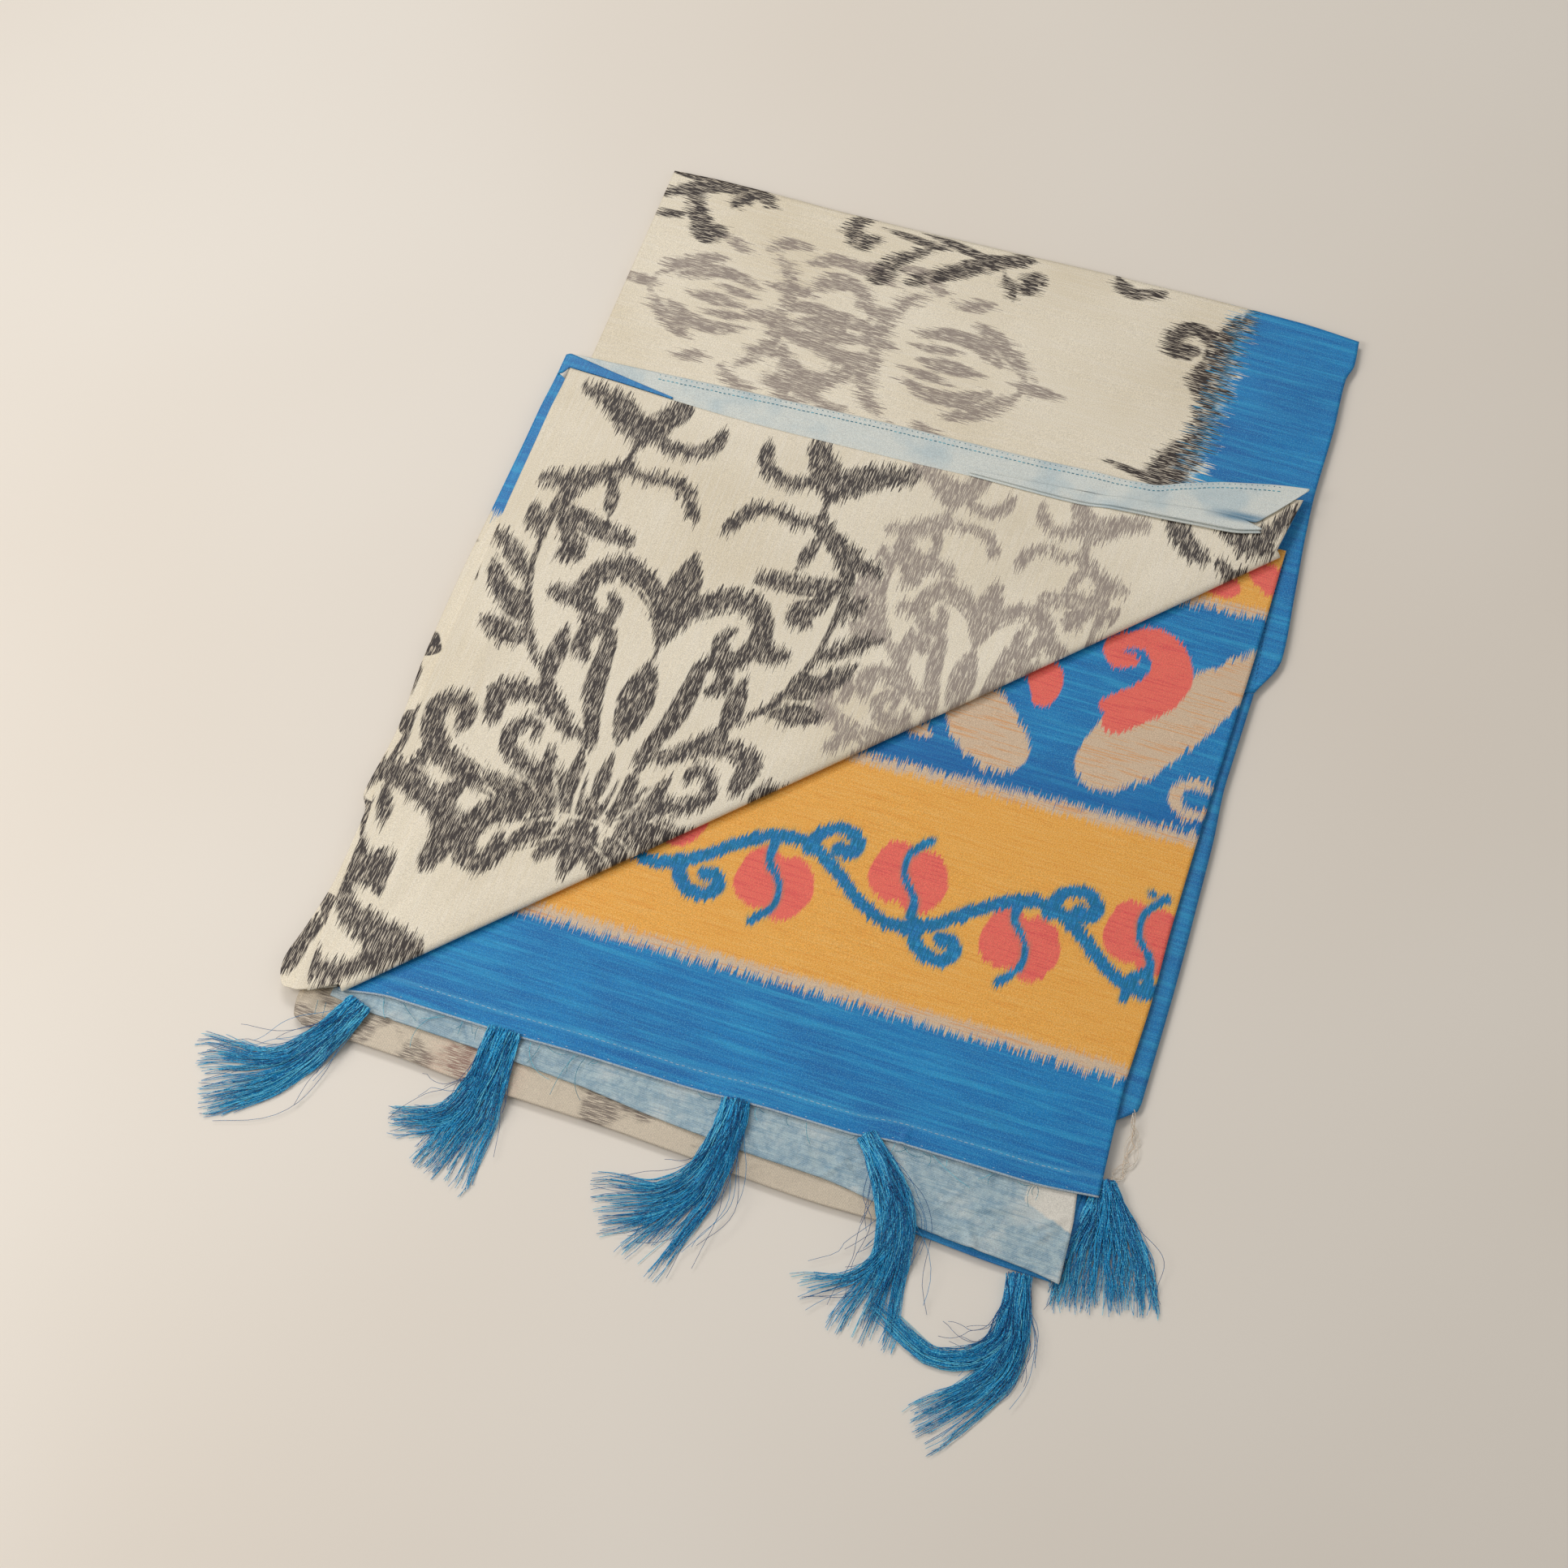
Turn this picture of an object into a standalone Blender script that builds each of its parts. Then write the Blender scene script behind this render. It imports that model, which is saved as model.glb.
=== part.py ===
"""Printed satin saree, folded flat, with one corner of its two top layers turned back.

The cloth lies on z = 0. +X runs across the fold (half the cloth's width), with the two
selvages on the right, +Y runs along the fold away from the tassels, and the origin is
at the middle of the underside. All sizes are in metres.
"""

import math
import random
from collections import namedtuple

import bmesh
import bpy
from mathutils import Matrix, Vector

# Driving sizes
CLOTH_WIDTH = 1.124        # selvage to selvage, folded once down the middle
FOLD_WIDTH = CLOTH_WIDTH / 2
PILE = 0.0036              # hidden layers below the ones that show
PILE_LAYERS = 4            # folds that show as ridges round the pile's rim
PILE_CORNERS = [Vector((-0.2810, -0.3870)), Vector((0.2800, -0.3930)), Vector((0.2800, 0.4030)), Vector((-0.2795, 0.3930))]
PILE_POINTS = 9            # along each side
PILE_RIM = 0.0040          # how far its lowest and highest edges are rounded in
FOLD_REACH = [0.0012, 0.0004]    # how far in its folds end, by turns
FOLD_GROOVE = 0.0012       # depth of the groove between two folds
FOLD_WANDER = 0.0014       # how unevenly they end
WALL = 0.0011              # thickness given to one sheet of cloth
GAP = 0.00035              # air between sheets that lie on each other
STEP = WALL + GAP
FLOOR_CLEAR = 0.0006       # lowest point of anything beside the pile

# The turned back corner folds over a straight diagonal, from its low end by the
# tassels to its far end at the selvages.
FOLD_START = Vector((-0.254, -0.3685))
FOLD_END = Vector((0.273, 0.1905))
FOLD_ROUND = 0.003         # how far the fold's bend reaches in plan
FOLD_LIFT = 0.0014         # how much the cloth puffs up beside the bend
FOLD_LIFT_AT = 0.010
FOLD_LIFT_WIDE = 0.014
TUCK_WIDE = 0.040          # stretch that runs back under the fold
LEFT_DROOP = 0.0020        # how far the overhanging left edge sinks
LEFT_DROOP_FROM = -0.2845
LEFT_DROOP_WIDE = 0.020
LEFT_DROOP_TO = 0.100      # it fades out from here to the corner's top edge
LEFT_DROOP_FADE = 0.065

# Edge tables. share runs from 0 to 1 along the edge, at is the place across it.
Edge = namedtuple("Edge", "share at")
Corner = namedtuple("Corner", "share x y")
Strip = namedtuple("Strip", "x low high")
Ridge = namedtuple("Ridge", "x y heading half_length half_width height")
Tassel = namedtuple("Tassel", "head_height path widths seed")
Way = namedtuple("Way", "x y")
Wide = namedtuple("Wide", "share width")

BACK_LEFT = [Edge(0, -0.281), Edge(1, -0.283)]
BACK_RIGHT = [
    Edge(0.00, 0.285), Edge(0.10, 0.297), Edge(0.27, 0.292), Edge(0.45, 0.286),
    Edge(0.57, 0.2835), Edge(0.72, 0.283), Edge(0.885, 0.280), Edge(0.93, 0.283), Edge(1.00, 0.281),
]
BACK_FRONT = [Edge(0, 0.062), Edge(0.94, 0.064), Edge(1, 0.074)]
BACK_BACK = [
    Edge(0.00, 0.397), Edge(0.08, 0.400), Edge(0.26, 0.401), Edge(0.47, 0.405),
    Edge(0.66, 0.410), Edge(0.82, 0.412), Edge(0.91, 0.412), Edge(1.00, 0.409),
]
BODY_BACK = 0.0605         # hidden, just short of the back panel
BODY_DROOP = 0.0011        # how far it sinks where it hangs over the pile's edge
BODY_DROOP_FRONT = -0.392
BODY_DROOP_SIDE = 0.282
BODY_DROOP_WIDE = 0.013
BODY_LEFT = [Edge(0, -0.273), Edge(0.012, -0.281), Edge(0.045, -0.284), Edge(0.2, -0.281), Edge(1, -0.281)]
BODY_RIGHT = [
    Edge(0.00, 0.273), Edge(0.25, 0.279), Edge(0.268, 0.287), Edge(0.288, 0.2955), Edge(0.36, 0.295),
    Edge(0.48, 0.294), Edge(0.64, 0.291), Edge(0.73, 0.289), Edge(0.84, 0.285), Edge(1.00, 0.285),
]
BODY_FRONT = [
    Edge(0.00, -0.398), Edge(0.12, -0.399), Edge(0.24, -0.402), Edge(0.38, -0.402), Edge(0.50, -0.404),
    Edge(0.69, -0.408), Edge(0.78, -0.407), Edge(0.95, -0.411), Edge(1.00, -0.411),
]
UNDER_LEFT = [Edge(0, -0.262), Edge(1, -0.262)]
UNDER_RIGHT = [Edge(0, 0.279), Edge(0.07, 0.276), Edge(0.12, 0.272), Edge(1, 0.272)]
UNDER_FRONT = [
    Edge(0.00, -0.372), Edge(0.05, -0.375), Edge(0.21, -0.377), Edge(0.34, -0.380), Edge(0.44, -0.385),
    Edge(0.59, -0.390), Edge(0.68, -0.391), Edge(0.78, -0.399), Edge(0.82, -0.404), Edge(0.965, -0.409),
    Edge(1.00, -0.412),
]
UNDER_CRINKLE = 0.0003     # small waves along its front edge
UNDER_CRINKLE_WIDE = 0.011
UNDER_CRINKLE_FROM = -0.3705
PALLU_LEFT = [Edge(0, -0.257), Edge(0.04, -0.270), Edge(1, -0.272)]
PALLU_RIGHT = [
    Edge(0.00, 0.287), Edge(0.10, 0.283), Edge(0.165, 0.281), Edge(0.26, 0.2815), Edge(0.40, 0.279),
    Edge(0.60, 0.278), Edge(0.78, 0.278), Edge(1.00, 0.276),
]
PALLU_FRONT = [
    Edge(0.00, -0.367), Edge(0.07, -0.361), Edge(0.20, -0.361), Edge(0.33, -0.359), Edge(0.45, -0.359),
    Edge(0.57, -0.356), Edge(0.68, -0.355), Edge(0.74, -0.351), Edge(0.91, -0.350), Edge(1.00, -0.345),
]
PALLU_BACK_LEFT = 0.100    # hidden end of the end panel, left of the fold's far end
PALLU_BACK_RISE = 0.100    # how much further it reaches at the selvage side
PALLU_BACK_FROM = 0.120
PALLU_BACK_WIDE = 0.120
DROP_AFTER = 0.038         # the layers above sink just behind that hidden end
DROP_WIDE = 0.034
HOLD_FROM = 0.090          # near the selvages they stay up instead
HOLD_WIDE = 0.070
HOLD_REACH = 0.055

# The turned back corner's own edge, up its left side and along its top. share is the
# place along the diagonal that it lies opposite to.
FLAP_EDGE = [
    Corner(0.000, -0.276, -0.377), Corner(0.012, -0.281, -0.363), Corner(0.038, -0.284, -0.334),
    Corner(0.094, -0.288, -0.271), Corner(0.122, -0.289, -0.240), Corner(0.158, -0.295, -0.199),
    Corner(0.199, -0.291, -0.153), Corner(0.300, -0.291, -0.039), Corner(0.392, -0.293, 0.064),
    Corner(0.488, -0.293, 0.172), Corner(0.500, -0.293, 0.185), Corner(0.512, -0.279, 0.1845),
    Corner(0.617, -0.160, 0.181), Corner(0.731, -0.030, 0.185), Corner(0.842, 0.097, 0.192),
    Corner(0.889, 0.150, 0.194), Corner(0.924, 0.190, 0.207), Corner(0.950, 0.220, 0.224),
    Corner(0.976, 0.250, 0.238), Corner(1.000, 0.277, 0.245),
]
# The layer below it, which peeks out on the left.
INNER_EDGE = [
    Corner(0.000, -0.284, -0.377), Corner(0.014, -0.294, -0.377), Corner(0.028, -0.301, -0.368),
    Corner(0.040, -0.303, -0.357), Corner(0.070, -0.298, -0.327), Corner(0.110, -0.293, -0.282),
    Corner(0.155, -0.294, -0.230), Corner(0.170, -0.301, -0.215), Corner(0.215, -0.298, -0.162),
    Corner(0.280, -0.303, -0.092), Corner(0.345, -0.304, -0.020), Corner(0.395, -0.303, 0.038),
    Corner(0.500, -0.301, 0.179),
]
FLAP_COLUMNS = 28
# Rows of the sheet, as shares of the way. The tucked stretch comes first, then the
# bend, then the turned back cloth out to its edge.
TUCK_ROWS = [1.0, 0.55, 0.2]
TUCK_END = 0.005           # the tucked stretch's width at its two ends
BEND_STEPS = 6
FLAP_ROWS = [0.02, 0.055, 0.11, 0.19, 0.30, 0.43, 0.57, 0.70, 0.79, 0.87, 0.93, 1.00]
INNER_ROWS = 11            # the inner layer follows most of them, to its own edge
INNER_OVERHANG = 0.0175    # its last row but one lies this far in from that edge
INNER_TOP = 0.888          # where it ends along the top
NEAR_WIDE = 0.045          # the tucked stretch holds the layers up to here
NEAR_FADE = 0.030

# Hem of the inner layer's selvage, wrong side up, along the corner's top edge.
HEM_STRIP = [
    Strip(-0.299, 0.1850, 0.1985), Strip(-0.284, 0.1830, 0.2000), Strip(-0.266, 0.1700, 0.2012),
    Strip(-0.169, 0.1690, 0.2080), Strip(-0.040, 0.1730, 0.2160), Strip(0.057, 0.1780, 0.2200),
    Strip(0.082, 0.1830, 0.2212), Strip(0.100, 0.2010, 0.2222), Strip(0.163, 0.2045, 0.2235),
    Strip(0.188, 0.2080, 0.2330), Strip(0.216, 0.2115, 0.2430), Strip(0.247, 0.2125, 0.2500),
    Strip(0.256, 0.2220, 0.2518), Strip(0.269, 0.2395, 0.2540), Strip(0.279, 0.2538, 0.2556),
]
HEM_RISE_FROM, HEM_RISE_TO = 0.086, 0.128
# Turned hem leaves lying on the corner's top edge.
LEAF_STRIP = [
    Strip(0.030, 0.1880, 0.1905), Strip(0.098, 0.1890, 0.1975), Strip(0.167, 0.1938, 0.2035),
    Strip(0.207, 0.1960, 0.2100), Strip(0.239, 0.1955, 0.2112), Strip(0.253, 0.2000, 0.2105),
]
LEAVES = 2
LEAF_SHIFT = 0.0022        # each leaf lies this much further in than the one below
# Blue face of the inner layer, showing beside the corner's edge.
WEDGE_STRIP = [Strip(-0.2975, 0.1862, 0.1980), Strip(-0.250, 0.1846, 0.1905), Strip(-0.208, 0.1828, 0.1843)]

# Large soft creases
BACK_RIDGES = [
    Ridge(-0.150, 0.300, 8, 0.110, 0.020, 0.0009), Ridge(0.090, 0.330, -6, 0.130, 0.026, 0.0011),
    Ridge(0.190, 0.290, 84, 0.050, 0.014, 0.0007), Ridge(-0.060, 0.365, 3, 0.120, 0.012, 0.0008),
]
PALLU_RIDGES = [
    Ridge(0.110, -0.180, 4, 0.120, 0.022, 0.0008), Ridge(0.190, -0.290, -2, 0.080, 0.014, 0.0008),
    Ridge(-0.030, -0.310, 2, 0.110, 0.012, 0.0006), Ridge(0.230, -0.060, 88, 0.060, 0.012, 0.0006),
]
FLAP_RIDGES = [
    Ridge(-0.250, -0.250, 84, 0.090, 0.009, 0.0012), Ridge(-0.262, -0.060, 88, 0.110, 0.008, 0.0009),
    Ridge(-0.120, -0.060, 66, 0.140, 0.022, 0.0009), Ridge(0.080, 0.120, 40, 0.110, 0.018, 0.0010),
    Ridge(-0.180, 0.120, 12, 0.080, 0.016, 0.0008), Ridge(-0.264, 0.158, 50, 0.070, 0.022, 0.0009),
]

# Tassels, tied threads sewn into the end panel's hem.
HEAD_LENGTH = 0.005
HEAD_HEIGHT = 0.0030
STRAND_GAP = 0.00022       # half the gap between strands where they leave the head
STRAND_STEPS = 5
STRAND_TIP = 0.32          # share of the root's size at a strand's tip
STRAND_COLUMNS = 4
STRAND_ROWS = 3
STRAND_FLAT = 0.75         # how flat the bundle lies once it is on the floor
# head_height is only for a tassel that leaves from beside the layers, not from on top
# of them.
TASSELS = {
    "tassel_1": Tassel(
        None,
        [Way(-0.2405, -0.3742), Way(-0.247, -0.392), Way(-0.262, -0.420), Way(-0.285, -0.443), Way(-0.318, -0.458)],
        [Wide(0, 0.018), Wide(0.4, 0.018), Wide(1, 0.060)], 3),
    "tassel_2": Tassel(
        None,
        [Way(-0.1360, -0.3674), Way(-0.134, -0.385), Way(-0.135, -0.412), Way(-0.145, -0.437), Way(-0.166, -0.462)],
        [Wide(0, 0.022), Wide(0.45, 0.020), Wide(1, 0.072)], 5),
    "tassel_3": Tassel(
        None,
        [Way(0.0320, -0.3640), Way(0.034, -0.385), Way(0.030, -0.414), Way(0.014, -0.440), Way(-0.010, -0.470)],
        [Wide(0, 0.022), Wide(0.45, 0.018), Wide(1, 0.066)], 7),
    "tassel_4": Tassel(
        None,
        [Way(0.1270, -0.3640), Way(0.140, -0.377), Way(0.160, -0.402), Way(0.167, -0.436), Way(0.160, -0.478)],
        [Wide(0, 0.016), Wide(0.45, 0.020), Wide(1, 0.046)], 9),
    "tassel_5": Tassel(
        0.0030,
        [Way(0.2520, -0.4185), Way(0.256, -0.434), Way(0.260, -0.462), Way(0.252, -0.492), Way(0.230, -0.524)],
        [Wide(0, 0.018), Wide(0.45, 0.020), Wide(1, 0.050)], 11),
    "tassel_6": Tassel(
        0.0034,
        [Way(0.2880, -0.3400), Way(0.294, -0.356), Way(0.300, -0.374), Way(0.304, -0.394), Way(0.309, -0.416)],
        [Wide(0, 0.013), Wide(0.4, 0.024), Wide(1, 0.056)], 13),
}

CREAM = (0.72, 0.65, 0.53)
BLUE = (0.02, 0.20, 0.48)
PALE_BLUE = (0.42, 0.58, 0.65)
TAN = (0.52, 0.43, 0.33)
AMBER = (0.82, 0.44, 0.09)
THREAD = (0.01, 0.26, 0.52)


def clear_scene():
    for obj in list(bpy.data.objects):
        bpy.data.objects.remove(obj, do_unlink=True)


def smooth(t):
    t = min(max(t, 0.0), 1.0)
    return t * t * (3 - 2 * t)


def through(places, values, at):
    """A smooth value at one place, through the given ones and never past them."""
    if at <= places[0]:
        return values[0]
    if at >= places[-1]:
        return values[-1]
    steps = [b - a for a, b in zip(places, places[1:])]
    rates = [(b - a) / h for a, b, h in zip(values, values[1:], steps)]
    tangents = [rates[0]]
    for before, after in zip(rates, rates[1:]):
        same_way = before * after > 0
        tangents.append(2 * before * after / (before + after) if same_way else 0.0)
    tangents.append(rates[-1])
    i = max(k for k in range(len(steps)) if places[k] <= at)
    h = steps[i]
    t = (at - places[i]) / h
    start = (1 + 2 * t) * (1 - t) ** 2 * values[i] + t * (1 - t) ** 2 * h * tangents[i]
    return start + t * t * (3 - 2 * t) * values[i + 1] + t * t * (t - 1) * h * tangents[i + 1]


def along(table, share):
    return through([row[0] for row in table], [row[1] for row in table], share)


def corner_at(table, share):
    shares = [row.share for row in table]
    return Vector((
        through(shares, [row.x for row in table], share),
        through(shares, [row.y for row in table], share),
    ))


def level(number):
    """Middle height of the sheets that lie on the pile, the lowest being number 1."""
    return PILE + GAP + WALL / 2 + (number - 1) * STEP


def ridges(table, x, y):
    height = 0.0
    for row in table:
        turn = math.radians(row.heading)
        ahead = (x - row.x) * math.cos(turn) + (y - row.y) * math.sin(turn)
        aside = (y - row.y) * math.cos(turn) - (x - row.x) * math.sin(turn)
        fade = 1 - smooth(abs(ahead) / row.half_length)
        height += row.height * fade * math.exp(-((aside / row.half_width) ** 2))
    return height


# The diagonal's own directions, along it and in from it to the turned back cloth
FOLD_ALONG = (FOLD_END - FOLD_START).normalized()
FOLD_IN = Vector((-FOLD_ALONG.y, FOLD_ALONG.x))


def inside(x, y):
    """How far a place lies in from the diagonal."""
    return (Vector((x, y)) - FOLD_START).dot(FOLD_IN)


def pallu_back(x):
    return PALLU_BACK_LEFT + PALLU_BACK_RISE * smooth((x - PALLU_BACK_FROM) / PALLU_BACK_WIDE)


def carried(x, y):
    """Top of what carries the turned back corner."""
    held = HOLD_REACH * smooth((x - HOLD_FROM) / HOLD_WIDE)
    drop = smooth((y - pallu_back(x) - DROP_AFTER - held) / DROP_WIDE)
    return level(3) + WALL / 2 - 2 * STEP * drop


def droop(x, y):
    """How far the overhanging layers sink at the left."""
    fade = 1 - smooth((y - LEFT_DROOP_TO) / LEFT_DROOP_FADE)
    return LEFT_DROOP * fade * smooth((LEFT_DROOP_FROM - x) / LEFT_DROOP_WIDE)


def tucked_height(x, y):
    return carried(x, y) + GAP + WALL / 2


def inner_height(x, y):
    near = 1 - smooth((inside(x, y) - NEAR_WIDE) / NEAR_FADE)
    return carried(x, y) + GAP + WALL / 2 + STEP * near - droop(x, y)


def flap_height(x, y):
    lift = FOLD_LIFT * math.exp(-(((inside(x, y) - FOLD_LIFT_AT) / FOLD_LIFT_WIDE) ** 2))
    return inner_height(x, y) + droop(x, y) + STEP + lift + ridges(FLAP_RIDGES, x, y)


def material(name, colour, roughness):
    made = bpy.data.materials.new(name)
    made.use_nodes = True
    shader = made.node_tree.nodes["Principled BSDF"]
    shader.inputs["Base Color"].default_value = (*colour, 1)
    shader.inputs["Roughness"].default_value = roughness
    shader.inputs["Metallic"].default_value = 0.0
    return made


def add_object(name, bm, colour, roughness=0.5):
    mesh = bpy.data.meshes.new(name)
    bm.to_mesh(mesh)
    bm.free()
    obj = bpy.data.objects.new(name, mesh)
    bpy.context.scene.collection.objects.link(obj)
    mesh.materials.append(material(name + "_finish", colour, roughness))
    return obj


def cloth(name, columns, rows, place, colour, roughness=0.5):
    """A sheet of cloth. place(column number, row number) gives each point of its middle."""
    bm = bmesh.new()
    bmesh.ops.create_grid(bm, x_segments=columns, y_segments=rows, size=0.5)
    for vert in bm.verts:
        vert.co = place(round((vert.co.x + 0.5) * columns), round((vert.co.y + 0.5) * rows))
    obj = add_object(name, bm, colour, roughness)
    wall = obj.modifiers.new("wall", "SOLIDIFY")
    wall.thickness = WALL
    wall.offset = 0
    wall.use_quality_normals = True
    return obj


def laid_panel(name, edges, column_shares, row_shares, height, colour):
    """A laid out panel between four edges. edges holds its left, right, front and back."""
    left, right, front, back = edges

    def place(column, row):
        u, v = column_shares[column], row_shares[row]
        x = along(left, v) + (along(right, v) - along(left, v)) * u
        y = front(u) + (back(u) - front(u)) * v
        return Vector((x, y, height(x, y)))

    return cloth(name, len(column_shares) - 1, len(row_shares) - 1, place, colour)


def strip(name, table, per_row, height, colour, shift=0.0):
    """A narrow strip along +X, between the low and high edges of its table."""
    xs = [row.x for row in table]
    places = [a + (b - a) * k / per_row for a, b in zip(xs, xs[1:]) for k in range(per_row)] + [xs[-1]]

    def place(column, row):
        x = places[column]
        low = through(xs, [r.low for r in table], x) + shift
        high = through(xs, [r.high for r in table], x) + shift
        y = low + (high - low) * row / 2
        return Vector((x, y, height(x, y)))

    return cloth(name, len(places) - 1, 2, place, colour)


def shares(count, more=()):
    return sorted({round(k / count, 4) for k in range(count + 1)} | set(more))


def edge(table):
    return lambda share: along(table, share)


def folded_layers():
    """The layers below those that show, as one pile with a ridge for each fold round its rim."""
    plan = []
    for start, end in zip(PILE_CORNERS, PILE_CORNERS[1:] + PILE_CORNERS[:1]):
        for k in range(PILE_POINTS):
            plan.append(start.lerp(end, k / PILE_POINTS))
    centre = sum(plan, Vector((0, 0))) / len(plan)
    layer = PILE / PILE_LAYERS
    profile = [(PILE_RIM, 0.0)]
    for k in range(PILE_LAYERS):
        reach = FOLD_REACH[k % 2]
        profile.append((reach, (k + 0.35) * layer))
        profile.append((reach, (k + 0.70) * layer))
        if k < PILE_LAYERS - 1:
            profile.append((reach + FOLD_GROOVE, (k + 1.02) * layer))
    profile.append((PILE_RIM, PILE))
    bm = bmesh.new()
    rings = []
    for row, (inset, z) in enumerate(profile):
        ring = []
        for k, point in enumerate(plan):
            way = centre - point
            shift = inset + FOLD_WANDER * (1 + math.sin(1.7 * k + 2.1 * (row // 3))) / 2
            corner = Vector((math.copysign(shift, way.x), math.copysign(shift, way.y)))
            ring.append(bm.verts.new((point.x + corner.x, point.y + corner.y, z)))
        rings.append(ring)
    for lower, upper in zip(rings, rings[1:]):
        for k in range(len(plan)):
            after = (k + 1) % len(plan)
            bm.faces.new((lower[k], lower[after], upper[after], upper[k]))
    bm.faces.new(list(reversed(rings[0])))
    bm.faces.new(rings[-1])
    bmesh.ops.recalc_face_normals(bm, faces=bm.faces)
    add_object("folded_layers", bm, CREAM)


def body_panels():
    def back_height(x, y):
        return level(1) + ridges(BACK_RIDGES, x, y)

    laid_panel(
        "back_panel", (BACK_LEFT, BACK_RIGHT, edge(BACK_FRONT), edge(BACK_BACK)),
        shares(14, (0.985,)), shares(8, (0.10, 0.06, 0.93)), back_height, CREAM)

    def body_height(x, y):
        front = smooth((BODY_DROOP_FRONT - y) / BODY_DROOP_WIDE)
        side = smooth((x - BODY_DROOP_SIDE) / BODY_DROOP_WIDE)
        return level(1) - BODY_DROOP * max(front, side)

    laid_panel(
        "body_under", (BODY_LEFT, BODY_RIGHT, edge(BODY_FRONT), lambda u: BODY_BACK),
        shares(12, (0.973,)), shares(4, (0.02, 0.048, 0.262, 0.275, 0.292)), body_height, TAN)


def end_panels():
    def under_height(x, y):
        crinkle = UNDER_CRINKLE * (1 + math.sin(x / UNDER_CRINKLE_WIDE)) * smooth((UNDER_CRINKLE_FROM - y) / 0.008)
        return level(2) + crinkle

    laid_panel(
        "pallu_under", (UNDER_LEFT, UNDER_RIGHT, edge(UNDER_FRONT), pallu_back_of(UNDER_LEFT)),
        shares(22), shares(2, (0.015, 0.035, 0.075, 0.12)), under_height, PALE_BLUE)

    def pallu_height(x, y):
        return level(3) + ridges(PALLU_RIDGES, x, y) * smooth((-0.010 - inside(x, y)) / 0.030)

    laid_panel(
        "pallu", (PALLU_LEFT, PALLU_RIGHT, edge(PALLU_FRONT), pallu_back_of(PALLU_LEFT)),
        shares(14), shares(12, (0.03,)), pallu_height, AMBER)


def pallu_back_of(left):
    start = left[-1].at
    return lambda u: pallu_back(start + (PALLU_RIGHT[-1].at - start) * u)


def flap_places(column):
    """The start of the bend, its end and the corner's edge, for one column of the corner."""
    share = column / FLAP_COLUMNS
    start = FOLD_START.lerp(FOLD_END, share)
    return start, start + FOLD_IN * FOLD_ROUND, corner_at(FLAP_EDGE, share)


def turned_corner():
    def place(column, row):
        start, bend, end = flap_places(column)
        share = column / FLAP_COLUMNS
        if row < len(TUCK_ROWS):
            reach = TUCK_END + (TUCK_WIDE - TUCK_END) * smooth(min(share, 1 - share) / 0.12)
            at = bend + FOLD_IN * (reach * TUCK_ROWS[row])
            return Vector((at.x, at.y, tucked_height(at.x, at.y)))
        row -= len(TUCK_ROWS)
        if row <= BEND_STEPS:
            angle = math.pi * row / BEND_STEPS
            at = start + FOLD_IN * (FOLD_ROUND * (1 - math.sin(angle)))
            low = tucked_height(bend.x, bend.y)
            high = flap_height(bend.x, bend.y)
            return Vector((at.x, at.y, low + (high - low) * (1 - math.cos(angle)) / 2))
        at = bend.lerp(end, FLAP_ROWS[row - BEND_STEPS - 1])
        return Vector((at.x, at.y, flap_height(at.x, at.y)))

    cloth("flap", FLAP_COLUMNS, len(TUCK_ROWS) + BEND_STEPS + len(FLAP_ROWS), place, CREAM, 0.4)


def corner_layers():
    """The second layer inside the turned back corner, with its blue face and its hems."""
    def place(column, row):
        start, bend, end = flap_places(column)
        share = column / FLAP_COLUMNS
        at = bend.lerp(end, FLAP_ROWS[min(row, INNER_ROWS - 2)])
        if row >= INNER_ROWS - 1:
            outer = corner_at(INNER_EDGE, share) if share <= 0.5 else bend.lerp(end, INNER_TOP)
            back = min(INNER_OVERHANG / (at - outer).length, 0.5)
            at = outer.lerp(at, back) if row < INNER_ROWS else outer
        return Vector((at.x, at.y, inner_height(at.x, at.y)))

    cloth("flap_inner", FLAP_COLUMNS, INNER_ROWS, place, BLUE)

    def strip_height(x, y):
        raised = smooth((x - HEM_RISE_FROM) / (HEM_RISE_TO - HEM_RISE_FROM))
        flat = level(2)
        edge_y = corner_at(FLAP_EDGE, 0.5 + (x + 0.293) / 1.14).y
        past = smooth((y - edge_y - 0.005) / 0.030)
        return flat + raised * (flap_height(x, y) + STEP + GAP - flat) * (1 - 0.45 * past)

    strip("flap_hem", HEM_STRIP, 2, strip_height, PALE_BLUE)
    strip("flap_corner", WEDGE_STRIP, 3, lambda x, y: level(3), BLUE)
    for number in range(1, LEAVES + 1):
        above = number * (STEP + GAP / 2) + GAP / 2
        strip(
            f"flap_hem_leaf_{number}", LEAF_STRIP, 3,
            lambda x, y, above=above: flap_height(x, y) + above, PALE_BLUE, (number - 1) * LEAF_SHIFT)


def rest_height(x, y):
    """Lowest height for a thread at one place, over the layers' front edges or the floor."""
    across = (x + FOLD_WIDTH / 2) / FOLD_WIDTH
    under = along(UNDER_FRONT, min(max((x + 0.262) / 0.541, 0), 1))
    body = along(BODY_FRONT, min(max(across, 0), 1))
    on_under = level(2) + WALL / 2 + 3 * GAP
    on_body = level(1) + WALL / 2 + 2 * GAP
    first = smooth((under - 0.009 - y) / 0.014)
    second = smooth((body - 0.007 - y) / 0.020)
    return on_under + (on_body - on_under) * first + (FLOOR_CLEAR - on_body) * second


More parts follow.
